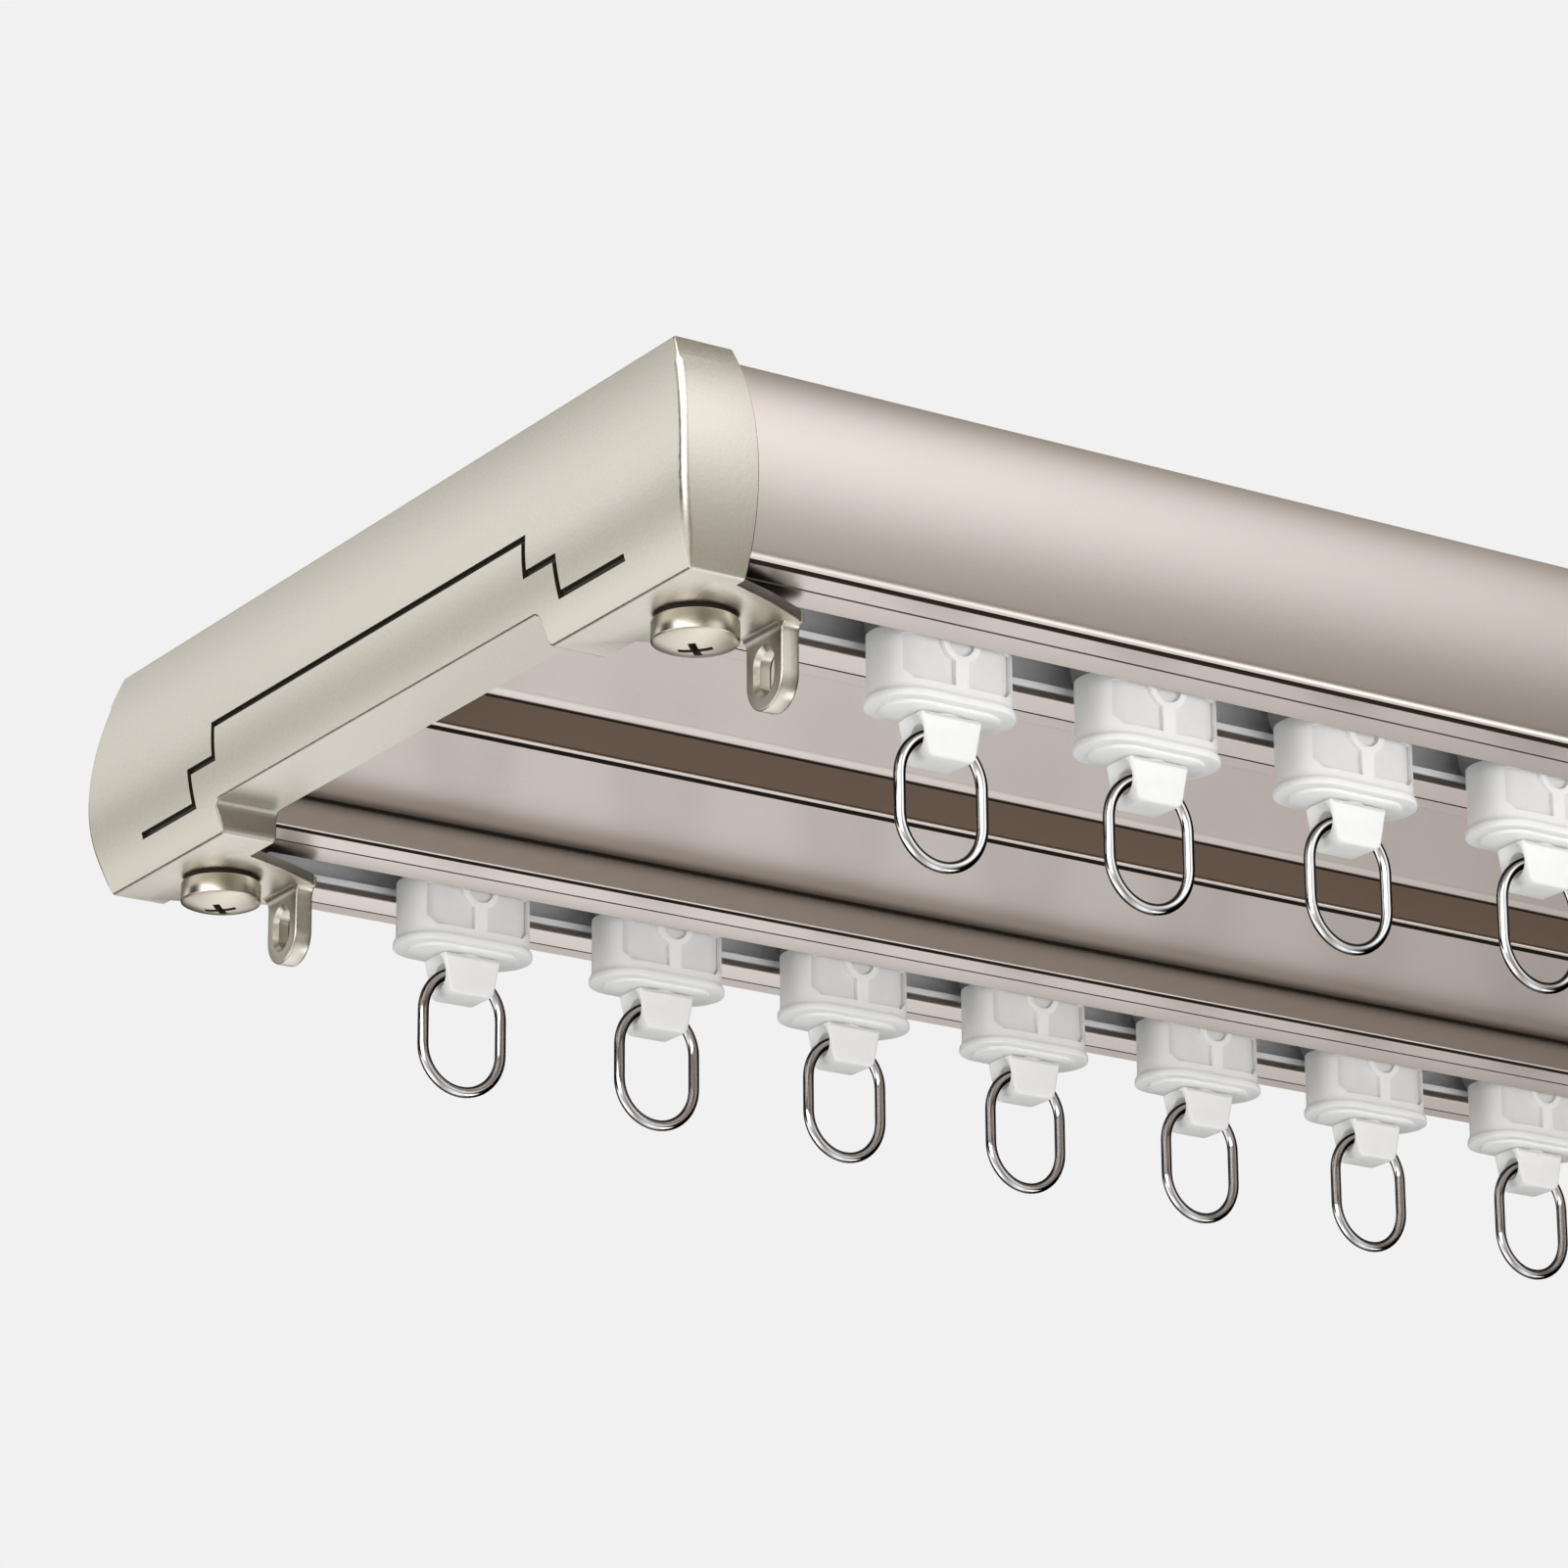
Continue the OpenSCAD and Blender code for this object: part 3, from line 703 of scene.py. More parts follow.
@dataclass(frozen=True)
class Cap:
    """A cast end cap with its engraved line, tongues and eye tabs."""

    wall: float = 1.25
    end: float = 1.6
    bulge: float = 2.35
    end_radius: float = 60.0
    foot_radius: float = 28.0
    floor: float = 2.4
    middle: float = 3.0
    side: float = 1.1
    lobe_round: float = 0.9
    lobe_fillet: float = 1.0
    corner_round: float = 0.8
    mitre: float = 0.95
    edge: float = 0.3
    line_width: float = 0.85
    line_depth: float = 0.7
    line_up: float = 2.05
    line_step: float = 4.2
    line_top: float = 36.7
    line_middle: float = 6.3
    line_low: float = 13.6
    tab_pitch: float = 110.4
    tab_width: float = 7.3
    tab_thick: float = 2.4
    tab_far: float = 18.4
    tab_drop: float = 11.6
    eye_width: float = 3.2
    eye_height: float = 5.0
    eye_bevel: float = 0.55
    tongue_thick: float = 1.3
    tongue_width: float = 20.6
    tongue_middle: float = 15.8
    tongue_tip: float = 10.8
    tongue_round: float = 2.0
    bend: float = 1.0
    rim_round: float = 0.2
    slice_high: float = 1.5
    ramp_start: float = 0.3
    ramp_angle: float = 7.0
    tongue_bend: float = 8.0
    tongue_edge: float = 0.25
    tab_edge: float = 0.3
    tab_flare: float = 1.1


@dataclass(frozen=True)
class Screw:
    """A pan-head cap screw with a cross recess."""

    pitch: float = 109.8
    inset: float = 7.3
    shank: float = 5.0
    head: float = 9.9
    rim: float = 2.9
    dome: float = 1.0
    gap: float = 0.45
    neck: float = 8.7
    cross: float = 4.0
    mouth_share: float = 0.24
    floor_share: float = 0.2
    cross_depth: float = 1.6
    top: float = 30.1


@dataclass(frozen=True)
class Glider:
    """A carriage with its hook block and ring, and the places of a row of them."""

    front_count: int = 5
    back_count: int = 7
    pitch: float = 28.8
    first: float = 40.9
    length: float = 18.1
    width: float = 9.2
    drop: float = 7.0
    flange_out: float = 0.35
    flange_thick: float = 0.9
    step_high: float = 0.45
    step_length: float = 15.0
    step_width: float = 7.4
    panel_depth: float = 0.6
    panel_end: float = 1.7
    panel_low: float = 4.9
    panel_up: float = 0.5
    panel_bevel: float = 1.1
    rib: float = 1.8
    boss: float = 2.6
    boss_in: float = 1.8
    boss_up: float = 0.56
    neck_up: float = 1.6
    axle_up: float = 6.17
    axle_bore: float = 1.3
    block_width: float = 9.0
    block_radius: float = 3.6
    stem: float = 2.2
    hook_gap: float = 0.2
    hook_top: float = 8.4
    hook_foot: float = 6.2
    hook_thick: float = 5.2
    hook_drop: float = 12.9
    hook_round: float = 1.0
    ring_axis: float = 10.1
    ring_bore: float = 1.56
    bore_bevel: float = 0.6
    wire: float = 1.4
    ring_radius: float = 5.6
    ring_side: float = 4.4
    ring_sag: float = 0.8


# Finishes


class Graph:
    """Short ways to add nodes to a node tree and to link them."""

    def __init__(self, tree: bpy.types.NodeTree) -> None:
        """Takes the tree that the nodes go into."""
        self.tree = tree

    def feed(self, node: bpy.types.Node, inputs: dict[str | int, object]) -> None:
        """Sets inputs of a node.

        Args:
            node: The node.
            inputs: Value, or socket to link from, for each input's name or number.
        """
        for key, value in inputs.items():
            if isinstance(value, bpy.types.NodeSocket):
                self.tree.links.new(value, node.inputs[key])
            else:
                node.inputs[key].default_value = value

    def add(self, kind: str, inputs: dict[str | int, object] | None = None,
            **settings: object) -> bpy.types.Node:
        """Adds a node.

        Args:
            kind: Kind of the node.
            inputs: Value, or socket to link from, for each input's name or number.
            settings: Properties of the node, set before its inputs.

        Returns:
            The node.
        """
        node = self.tree.nodes.new(kind)
        for name, value in settings.items():
            setattr(node, name, value)
        self.feed(node, inputs or {})
        return node

    def maths(self, operation: str, *values: object, clamp: bool = False) -> bpy.types.NodeSocket:
        """Result of a sum.

        Args:
            operation: What is done.
            values: Numbers or sockets that it is done with.
            clamp: Whether the result is kept from 0 to 1.

        Returns:
            The result's socket.
        """
        node = self.add("ShaderNodeMath", dict(enumerate(values)), operation=operation, use_clamp=clamp)
        return node.outputs[0]

    def blend(self, factor: object, first: object, second: object,
              kind: str = "RGBA") -> bpy.types.NodeSocket:
        """Mix of two values.

        Args:
            factor: Share of the second one.
            first: Value or socket.
            second: Value or socket.
            kind: Kind of both.

        Returns:
            The result's socket.
        """
        node = self.add("ShaderNodeMix", {"Factor": factor, "A": first, "B": second}, data_type=kind)
        return node.outputs["Result"]


class Effects:
    """Shader groups that several finishes share, each built once."""

    def __init__(self) -> None:
        """Builds the groups."""
        self.grain = self._grain()
        self.corner = self._corner()
        self.edge = self._edge()

    def _group(self, name: str, inputs: dict[str, float], outputs: Sequence[str]) -> tuple:
        """Group of numbers with named sockets.

        Args:
            name: Name of the group.
            inputs: Default of each number that goes in.
            outputs: Name of each number that comes out.

        Returns:
            The group's graph and the sockets that come in.
        """
        graph = Graph(bpy.data.node_groups.new(name, "ShaderNodeTree"))
        face = graph.tree.interface
        for label, value in inputs.items():
            socket = face.new_socket(label, in_out="INPUT", socket_type="NodeSocketFloat")
            socket.default_value = value
        for label in outputs:
            face.new_socket(label, in_out="OUTPUT", socket_type="NodeSocketFloat")
        return graph, graph.add("NodeGroupInput").outputs

    def _grain(self) -> bpy.types.NodeTree:
        """Fine grain with a slow drift: a height, and a value round 0 to tint and roughen with."""
        graph, given = self._group(
            "Fine grain", {"Grain Scale": 2500.0, "Drift Scale": 25.0, "Drift": 0.5, "Stretch": 1.0},
            ("Height", "Variation"))
        coords = graph.add("ShaderNodeTexCoord").outputs["Object"]
        pull = graph.add("ShaderNodeCombineXYZ", {"X": given["Stretch"], "Y": 1, "Z": 1})
        along = graph.add("ShaderNodeVectorMath", {0: coords, 1: pull.outputs[0]}, operation="MULTIPLY")
        fine = graph.add("ShaderNodeTexNoise", {
            "Detail": 2, "Vector": along.outputs[0], "Scale": given["Grain Scale"]}).outputs["Fac"]
        slow = graph.add("ShaderNodeTexNoise", {
            "Detail": 1, "Vector": coords, "Scale": given["Drift Scale"]}).outputs["Fac"]
        mixed = graph.blend(given["Drift"], fine, slow, "FLOAT")
        graph.add("NodeGroupOutput", {"Height": fine, "Variation": graph.maths("SUBTRACT", mixed, 0.5)})
        return graph.tree

    def _corner(self) -> bpy.types.NodeTree:
        """Mask that grows from Least, between Start and End on both sides, at one height only."""
        graph, given = self._group(
            "Corner shade", {"Start": 0.0, "End": 1.0, "Height": 0.0, "Least": 0.0}, ("Mask",))
        coords = graph.add("ShaderNodeTexCoord")
        place = graph.add("ShaderNodeSeparateXYZ", {0: coords.outputs["Object"]}).outputs
        across = graph.maths("ABSOLUTE", place["Y"])
        grow = graph.add("ShaderNodeMapRange", {
            "Value": across, "From Min": given["Start"], "From Max": given["End"],
            "To Min": given["Least"]}, interpolation_type="SMOOTHSTEP")
        level = graph.maths("COMPARE", place["Z"], given["Height"], 0.15 * MM)
        inside = graph.maths("LESS_THAN", across, given["End"])
        mask = graph.maths("MULTIPLY", graph.maths("MULTIPLY", grow.outputs[0], level), inside)
        graph.add("NodeGroupOutput", {"Mask": mask})
        return graph.tree

    def _edge(self) -> bpy.types.NodeTree:
        """Mask of a painted dark reflection, which grows towards the edges of a mirror finish, where it
        turns away.
        """
        graph, given = self._group("Mirror edge", {"Start": 0.1, "End": 0.5}, ("Mask",))
        turn = graph.add("ShaderNodeLayerWeight", {"Blend": 0.5})
        grow = graph.add("ShaderNodeMapRange", {
            "Value": turn.outputs["Facing"], "From Min": given["Start"], "From Max": given["End"],
        }, interpolation_type="SMOOTHSTEP")
        graph.add("NodeGroupOutput", {"Mask": grow.outputs[0]})
        return graph.tree


@dataclass(frozen=True)
class Finish:
    """Surface of one material: its colour, its gloss and its grain."""

    name: str
    colour: Colour
    metallic: float = 0.0
    roughness: float = 0.4
    tint: float = 0.06
    roughen: float = 0.1
    bump: float = 0.1
    bump_depth: float = 0.02
    grain_scale: float = 2500.0
    drift_scale: float = 25.0
    drift: float = 0.3
    stretch: float = 1.0
    specular: float = 0.5
    glow_depth: float = 0.0
    shade: tuple[float, float, float] | None = None
    shade_least: float = 0.0
    # Where the painted dark reflection at a mirror's edges starts and ends
    edge: tuple[float, float] | None = None

    def material(self, effects: Effects) -> bpy.types.Material:
        """Builds the material.

        Args:
            effects: The shared shader groups.

        Returns:
            The material.
        """
        made = bpy.data.materials.new(self.name)
        made.use_nodes = True
        graph = Graph(made.node_tree)
        surface = made.node_tree.nodes["Principled BSDF"]
        grain = graph.add("ShaderNodeGroup", {
            "Grain Scale": self.grain_scale, "Drift Scale": self.drift_scale, "Drift": self.drift,
            "Stretch": self.stretch}, node_tree=effects.grain).outputs
        bump = graph.add("ShaderNodeBump", {
            "Strength": self.bump, "Distance": self.bump_depth * MM, "Height": grain["Height"]})
        graph.feed(surface, {
            "Metallic": self.metallic,
            "Specular IOR Level": self.specular,
            "Base Color": self._colour(graph, grain["Variation"], effects),
            "Roughness": graph.maths("MULTIPLY_ADD", grain["Variation"], self.roughen, self.roughness,
                                     clamp=True),
            "Normal": bump.outputs[0],
        })
        if self.glow_depth:
            graph.feed(surface, {"Subsurface Weight": 0.35, "Subsurface Radius": (1, 1, 1),
                                 "Subsurface Scale": self.glow_depth * MM})
        return made

    def _colour(self, graph: Graph, variation: bpy.types.NodeSocket,
                effects: Effects) -> bpy.types.NodeSocket:
        """Colour that the grain tints up and down, darkened by painted shade in a corner and by a painted
        dark reflection at a mirror's edge.

        Args:
            graph: The material's graph.
            variation: The grain's variation.
            effects: The shared shader groups.

        Returns:
            The colour's socket.
        """
        factor = graph.maths("MULTIPLY_ADD", variation, 2.0, 0.5, clamp=True)
        low = (*(c * (1 - self.tint) for c in self.colour), 1)
        high = (*(min(1, c * (1 + self.tint)) for c in self.colour), 1)
        result = graph.blend(factor, low, high)
        if self.shade:
            places = {label: value * MM for label, value in zip(("Start", "End", "Height"), self.shade)}
            corner = graph.add("ShaderNodeGroup", places | {"Least": self.shade_least},
                               node_tree=effects.corner)
            result = graph.blend(corner.outputs["Mask"], result, (0.02, 0.014, 0.01, 1))
        # Painted dark reflection towards a mirror's edges
        if self.edge:
            turn = graph.add("ShaderNodeGroup", dict(zip(("Start", "End"), self.edge)),
                             node_tree=effects.edge)
            result = graph.blend(turn.outputs["Mask"], result, (0.01, 0.01, 0.012, 1))
        return result


class Palette:
    """All materials of the track, by what they dress."""

    def __init__(self) -> None:
        """Builds every material."""
        effects = Effects()
        self.rail = Finish("Champagne anodised aluminium", (0.74, 0.67, 0.622), metallic=1.0,
                           roughness=0.3, tint=0.05, roughen=0.15, bump=0.2,
                           bump_depth=0.01, grain_scale=5000, shade=Track().web_shade,
                           shade_least=0.14).material(effects)
        # Darker, rougher copy of the anodised finish for faces that look straight up: painted shade on the
        # top
        self.top = Finish("Shade-painted anodised top", (0.38, 0.35, 0.325), metallic=1.0, roughness=0.45,
                          tint=0.05, bump=0.2, bump_depth=0.01, grain_scale=5000).material(effects)
        self.cap = Finish("Sand textured cap casting", (0.715, 0.685, 0.605), metallic=1.0,
                          roughness=0.34, tint=0.07, roughen=0.2, bump=0.5,
                          bump_depth=0.03, grain_scale=2200).material(effects)
        # Darker copy of the cap casting: painted shade on the cap's top, the inner walls between the lobes,
        # the tabs' faces and the bends
        self.shaded_cap = Finish("Shade-painted cap casting", (0.47, 0.445, 0.385), metallic=1.0,
                                 roughness=0.36, tint=0.07, bump=0.4, bump_depth=0.03,
                                 grain_scale=2200).material(effects)
        self.line = Finish("Engraved line", (0.03, 0.024, 0.018), roughness=0.6).material(effects)
        # Near-black colour for the insides of the rail's grooves, the strip's near edge, the tongues' tops
        # and the screws' necks: painted shadow
        self.groove = Finish("Dark groove", (0.02, 0.014, 0.01), roughness=0.7).material(effects)
        # Dark brown for the fine lines in the lips: painted shade in the creases
        self.crease = Finish("Crease", (0.12, 0.1, 0.085), roughness=0.6).material(effects)
        self.strip = Finish("Brown cover strip", (0.12, 0.066, 0.035), roughness=0.5, specular=0.2,
                            stretch=0.02, grain_scale=1500, bump=0.15).material(effects)
        self.liner = Finish("Grey liner", (0.88, 0.88, 0.89), roughness=0.35, stretch=0.02,
                            grain_scale=1200).material(effects)
        self.screw = Finish("Champagne plated steel", (0.7, 0.65, 0.56), metallic=1, roughness=0.29,
                            roughen=0.05, tint=0.03, grain_scale=1800, bump=0.05).material(effects)
        self.nut = Finish("Zinc plated steel", (0.55, 0.55, 0.54), metallic=1,
                          roughness=0.4).material(effects)
        self.nylon = Finish("White nylon", (0.88, 0.88, 0.87), roughness=0.38, tint=0.02, bump=0.06,
                            grain_scale=900, glow_depth=1.2).material(effects)
        # Rougher nylon for the sunken panels, with a darker colour that is painted shade in the recesses
        self.panel = Finish("White nylon panel", (0.76, 0.76, 0.755), roughness=0.5, tint=0.02,
                            bump=0.06, grain_scale=900, glow_depth=0.6).material(effects)
        self.wheel = Finish("Wheel nylon", (0.82, 0.82, 0.81), roughness=0.35, tint=0.03).material(effects)
        # Its base colour turns near black towards the wire's edges: a painted dark reflection
        self.chrome = Finish("Bright chrome wire", (0.9, 0.9, 0.92), metallic=1, roughness=0.07,
                             tint=0.02, roughen=0.02, bump=0.02, edge=(0.16, 0.42)).material(effects)


# Pieces


@dataclass
class Pieces:
    """What every builder of pieces works with."""

    shop: Workshop
    palette: Palette
    track: Track = field(default_factory=Track)


@dataclass
class RailPieces(Pieces):
    """Builds the section and its cover strip."""

    def build(self) -> None:
        """Makes both pieces."""
        self.section()
        self.strip()

    def section(self) -> bpy.types.Object:
        """The aluminium section with its ceiling holes."""
        track = self.track
        body = prism(track.outline(), along_x, -track.end, track.end)
        body.normal_update()
        # Faces that look straight up take the darker copy of the anodised finish: painted shade on the top
        for face in body.faces:
            face.material_index = int(face.normal.z > 0.9)
        item = self.shop.lay(body, self.palette.rail, self.palette.top)
        holes = [self.shop.lay(rod(track.hole / 2, (x, 0, 1), (x, 0, -6)), self.palette.rail)
                 for x in (-track.hole_pitch, 0, track.hole_pitch)]
        past = track.end + OVER
        # The grooves take a near-black and the creases a dark brown colour, both painted shadow; the third
        # groove, between the web and the front lips, keeps the bare metal
        paints = [self.palette.groove] * len(track.grooves())
        paints[2] = self.palette.rail
        cuts = list(zip(track.grooves(), paints)) + [(run, self.palette.crease) for run in track.creases()]
        grooves = [self.shop.lay(prism(run, along_x, -past, past), paint) for run, paint in cuts]
        slope = self.shop.lay(prism(track.slope(), along_x, -track.end, track.end), self.palette.rail)
        self.shop.join(item, Join.FUSE, slope)
        self.shop.join(item, Join.CUT, *holes, *grooves)
        return self.shop.finish("rail_section", item, "track", ["rail"], "rail_aluminium", smooth=30)

    def strip(self) -> bpy.types.Object:
        """The brown strip that snaps into the web."""
        track = self.track
        half = track.strip_width / 2 - track.fit
        low = track.strip_foot
        top = low + track.strip_thick
        bead = track.strip_width / 2 + track.bead_out
        right = rounded([
            (0, low), (half, low), (half, track.bead_foot), (bead, track.bead_foot),
            (bead, track.bead_foot + track.bead_high), (half, track.bead_foot + track.bead_high),
            (half, top), (0, top),
        ], {1: 0.2, 3: 0.1, 4: 0.1, 6: 0.1})
        reach = track.end - track.cap_over - track.strip_gap
        item = self.shop.lay(prism(mirrored(right), along_x, -reach, reach), self.palette.strip)
        # The painted shadow along the strip's near edge starts where a line of sight past the rib, in the
        # photo, meets the strip
        seen = track.strip_in * track.sight_run - half
        stop = seen + track.strip_edge
        edge = [(seen, low - OVER), (stop, low - OVER), (stop, low + 0.2), (seen, low + 0.3)]
        self.shop.join(item, Join.CUT,
                       self.shop.lay(prism(edge, along_x, -track.end, track.end), self.palette.groove))
        return self.shop.finish("cover_strip_bar", item, "track", ["cover_strip"], "brown_strip")


@dataclass
class CapPieces(Pieces):
    """Builds the two end caps."""

    cap: Cap = field(default_factory=Cap)

    @property
    def foot(self) -> float:
        """Lowest face of the cap."""
        return self.track.lip - self.cap.floor

    @property
    def outer_x(self) -> float:
        """Furthest point of the left cap's end wall."""
        return -self.track.end - self.cap.end - self.cap.bulge

    @property
    def mouth(self) -> float:
        """Open rim of the left cap."""
        return -self.track.end + self.track.cap_over

    def wall_x(self, height: float) -> float:
        """Outer face of the end wall at a height."""
        rise, radius = self.bulge(height)
        return self.outer_x + radius - math.sqrt(radius ** 2 - rise ** 2)

    def bulge(self, height: float) -> tuple[float, float]:
        """Rise above the end wall's furthest line, and the radius of its curve there."""
        rise = height - self.track.face
        return rise, self.cap.end_radius if rise > 0 else self.cap.foot_radius

    def outline(self) -> tuple[list[Point], list[float]]:
        """Outer outline of the cap, and how far the edge to the end wall is rounded at each point.

        Returns:
            The closed outline and the radii.
        """
        track, cap = self.track, self.cap
        lobe = track.web_end - track.fit - cap.side
        roof = track.web - cap.middle
        radius = track.face_radius + cap.wall
        low = track.face_angle(radius, self.foot)
        side = arc((track.face_centre, track.face), radius, low, track.face_angle(radius, 0), 48)
        fillet, turn = cap.lobe_fillet, cap.lobe_round
        run = [(0.0, roof)]
        run += arc((lobe - fillet, roof - fillet), fillet, 90, 0, 7)
        run += arc((lobe + turn, self.foot + turn), turn, 180, 270, 8)
        corner = len(run)
        run += side
        run = rounded(run, {corner: cap.corner_round}, 5)
        ramp = math.radians(cap.ramp_angle) * radius
        start = Vector(side[0])
        radii = []
        for point in run:
            reach = (Vector(point) - start).length if point[0] > side[0][0] - 0.2 else 0
            share = max(0.0, min(1.0, (reach - cap.ramp_start) / ramp))
            radii.append(cap.edge + (cap.mitre - cap.edge) * share)
        run.append((0.0, 0.0))
        radii.append(cap.edge)
        whole = mirrored(run)
        return whole, radii + [r for p, r in zip(reversed(run), reversed(radii)) if p[0] > TINY]

    def shell(self) -> bmesh.types.BMesh:
        """Outer solid of the cap: side wall, rounded edge and bulging end wall."""
        points, radii = self.outline()
        rim = self.cap.rim_round
        soft = inset(points, [rim] * len(points))
        rings = [[Vector((self.mouth, y, z)) for y, z in soft],
                 [Vector((self.mouth - rim, y, z)) for y, z in points]]
        for k in range(7):
            angle = math.radians(15 * k)
            ring = inset(points, [r * (1 - math.cos(angle)) for r in radii])
            rings.append([Vector((self.wall_x(z) + r * (1 - math.sin(angle)), y, z))
                          for (y, z), r in zip(ring, radii)])
        mesh = loft(rings)
        wall = max(mesh.faces, key=lambda f: len(f.verts) * (f.calc_center_median().x < self.mouth - 3))
        self._slice(mesh, wall)
        bmesh.ops.recalc_face_normals(mesh, faces=mesh.faces)
        mesh.normal_update()
        # Faces that look straight up and the inner walls between the lobes take the darker cap casting:
        # painted shade
        for face in mesh.faces:
            spot = face.calc_center_median()
            inner = abs(spot.y) < self.track.web_end and spot.z < self.track.web - self.cap.middle
            face.material_index = int(face.normal.z > 0.9 or (inner and abs(face.normal.y) > 0.3))
        return mesh

    def _slice(self, mesh: bmesh.types.BMesh, wall: bmesh.types.BMFace) -> None:
        """Cuts the end wall into level strips that follow its bulge."""
        strips = [wall]
        level = self.foot + self.cap.slice_high
        while level < -1:
            edges = {e for f in strips for e in f.edges}
            ends = {v for f in strips for v in f.verts}
            cut = bmesh.ops.bisect_plane(mesh, geom=strips + list(edges) + list(ends),
                                         plane_co=(0, 0, level), plane_no=(0, 0, 1))
            strips = [g for g in cut["geom"] if isinstance(g, bmesh.types.BMFace)]
            level += self.cap.slice_high
        for vertex in {v for f in strips for v in f.verts}:
            vertex.co = snap((self.wall_x(vertex.co.z), vertex.co.y, vertex.co.z))
        mesh.normal_update()
        wide = [f for f in mesh.faces if len(f.verts) > 4]
        bmesh.ops.triangulate(mesh, faces=wide, ngon_method="EAR_CLIP")

    def room(self) -> bmesh.types.BMesh:
        """Space for the section inside the cap."""
        track = self.track
        radius = track.face_radius + track.fit
        low, high = track.lip - track.fit, -track.top_step + track.fit
        side = arc((track.face_centre, track.face), radius,
                   track.face_angle(radius, low), track.face_angle(radius, high), 40)
        rib = track.strip_width / 2 + track.strip_rib + track.fit
        shelf = track.web - track.rib_proud - 2 * track.fit
        middle = track.web_end + track.wall + track.fit
        half = [(0, shelf), (rib, shelf), (rib, track.web - track.fit),
                (track.web_end - track.fit, track.web - track.fit), (track.web_end - track.fit, low)]
        half += side + [(middle, high), (middle, OVER), (0, OVER)]
        return prism(mirrored(half), along_x, -track.end - track.fit, self.mouth + OVER)

    def engraving(self) -> bmesh.types.BMesh:
        """Cutter for the engraved line, with its two steps down on each side."""
        cap = self.cap
        low = self.track.lip + cap.line_up
        middle, high = low + cap.line_step, low + 2 * cap.line_step
        inner, outer = cap.line_top, cap.line_top + cap.line_middle
        right = [(0.0, high), (inner, high), (inner, middle), (outer, middle), (outer, low),
                 (outer + cap.line_low, low)]
        path = flipped(right) + right[1:]
        line = stroke(path, cap.line_width)
        mesh = prism(line, along_x, 0, 1)
        for vertex in mesh.verts:
            deep = vertex.co.x > 0.5
            vertex.co.x = self.wall_x(vertex.co.z) + (cap.line_depth if deep else -OVER)
        return mesh

    def tongue_outline(self) -> list[Point]:
        """Plan of a tongue, with rounded corners at its tip."""
        track, cap = self.track, self.cap
        middle = (track.cap_over + cap.tab_far) / 2
        run = [
            (track.cap_over - 3, cap.tongue_width / 2), (track.cap_over, cap.tongue_width / 2),
            (middle, cap.tongue_middle / 2), (cap.tab_far - 0.9, cap.tongue_tip / 2 - 0.2),
            (cap.tab_far, cap.tongue_tip / 2 - 1.2), (cap.tab_far, 0),
        ]
        run = rounded(run, {2: cap.tongue_bend, 3: cap.tongue_round, 4: cap.tongue_round}, 5)[:-1]
        return [(x, -y) for x, y in run] + list(reversed(run))

    def tongue(self, side: Side) -> list[bpy.types.Object]:
        """Tongue and eye tab below one slot.

        Args:
            side: Which slot.

        Returns:
            The solids to fuse with the cap.
        """
        track, cap = self.track, self.cap
        y = side.value * cap.tab_pitch / 2
        plan = [(x - track.end, b + y) for x, b in self.tongue_outline()]
        plate = prism(plan, along_z, self.foot - CLEAR, self.foot + cap.tongue_thick, (cap.tongue_edge, 0))
        near, far = cap.tab_far - cap.tab_thick - track.end, cap.tab_far - track.end
        foot = track.lip - cap.tab_drop
        top = self.foot + cap.tongue_thick
        half = cap.tab_width / 2
        view = arc((y, foot + half), half, 180, 360, 24)
        flare = cap.tab_flare
        view += arc((y + half + flare, self.foot - flare), flare, 180, 90, 5)
        view += [(y + half + flare, top - 0.1), (y - half - flare, top - 0.1)]
        view += arc((y - half - flare, self.foot - flare), flare, 90, 0, 5)
        # The tongue's top takes the near-black groove colour: a painted shadow in the gap under the lips
        for face in plate.faces:
            face.material_index = 2 if face.normal.z > 0.9 else 0
        tab = prism(view, along_x, near, far, (cap.tab_edge, cap.tab_edge))
        # The tab's face that looks along minus X takes the darker cap casting: painted shade
        for face in tab.faces:
            face.material_index = 1 if face.normal.x < -0.9 else 0
        bend = [(near + 0.1, self.foot + 0.1), (near - cap.bend, self.foot + 0.1)]
        bend += arc((near - cap.bend, self.foot - cap.bend), cap.bend, 90, 0, 6)
        bend += [(near + 0.1, self.foot - cap.bend)]
        fillet = prism(bend, along_y, y - half + 0.05, y + half - 0.05)
        # The whole bend takes the darker cap casting: painted shade
        for face in fillet.faces:
            face.material_index = 1
        paints = (self.palette.cap, self.palette.shaded_cap, self.palette.groove)
        return [self.shop.lay(m, *paints) for m in (plate, tab, fillet)]

    def eye(self, side: Side) -> bpy.types.Object:
        """Cutter for the eye of a tab, bevelled on both faces."""
        track, cap = self.track, self.cap
        y = side.value * cap.tab_pitch / 2
        middle = track.lip - cap.tab_drop + cap.tab_width / 2 + cap.eye_height / 2 - cap.eye_width / 2
        near, far = cap.tab_far - cap.tab_thick - track.end, cap.tab_far - track.end
        rings = []
        for x, grow in flared(near, far, cap.eye_bevel):
            shape = oval(cap.eye_height + 2 * grow, cap.eye_width + 2 * grow, 14)
            rings.append([Vector((x, y + b, middle + a)) for a, b in shape])
        return self.shop.lay(loft(rings), self.palette.cap)

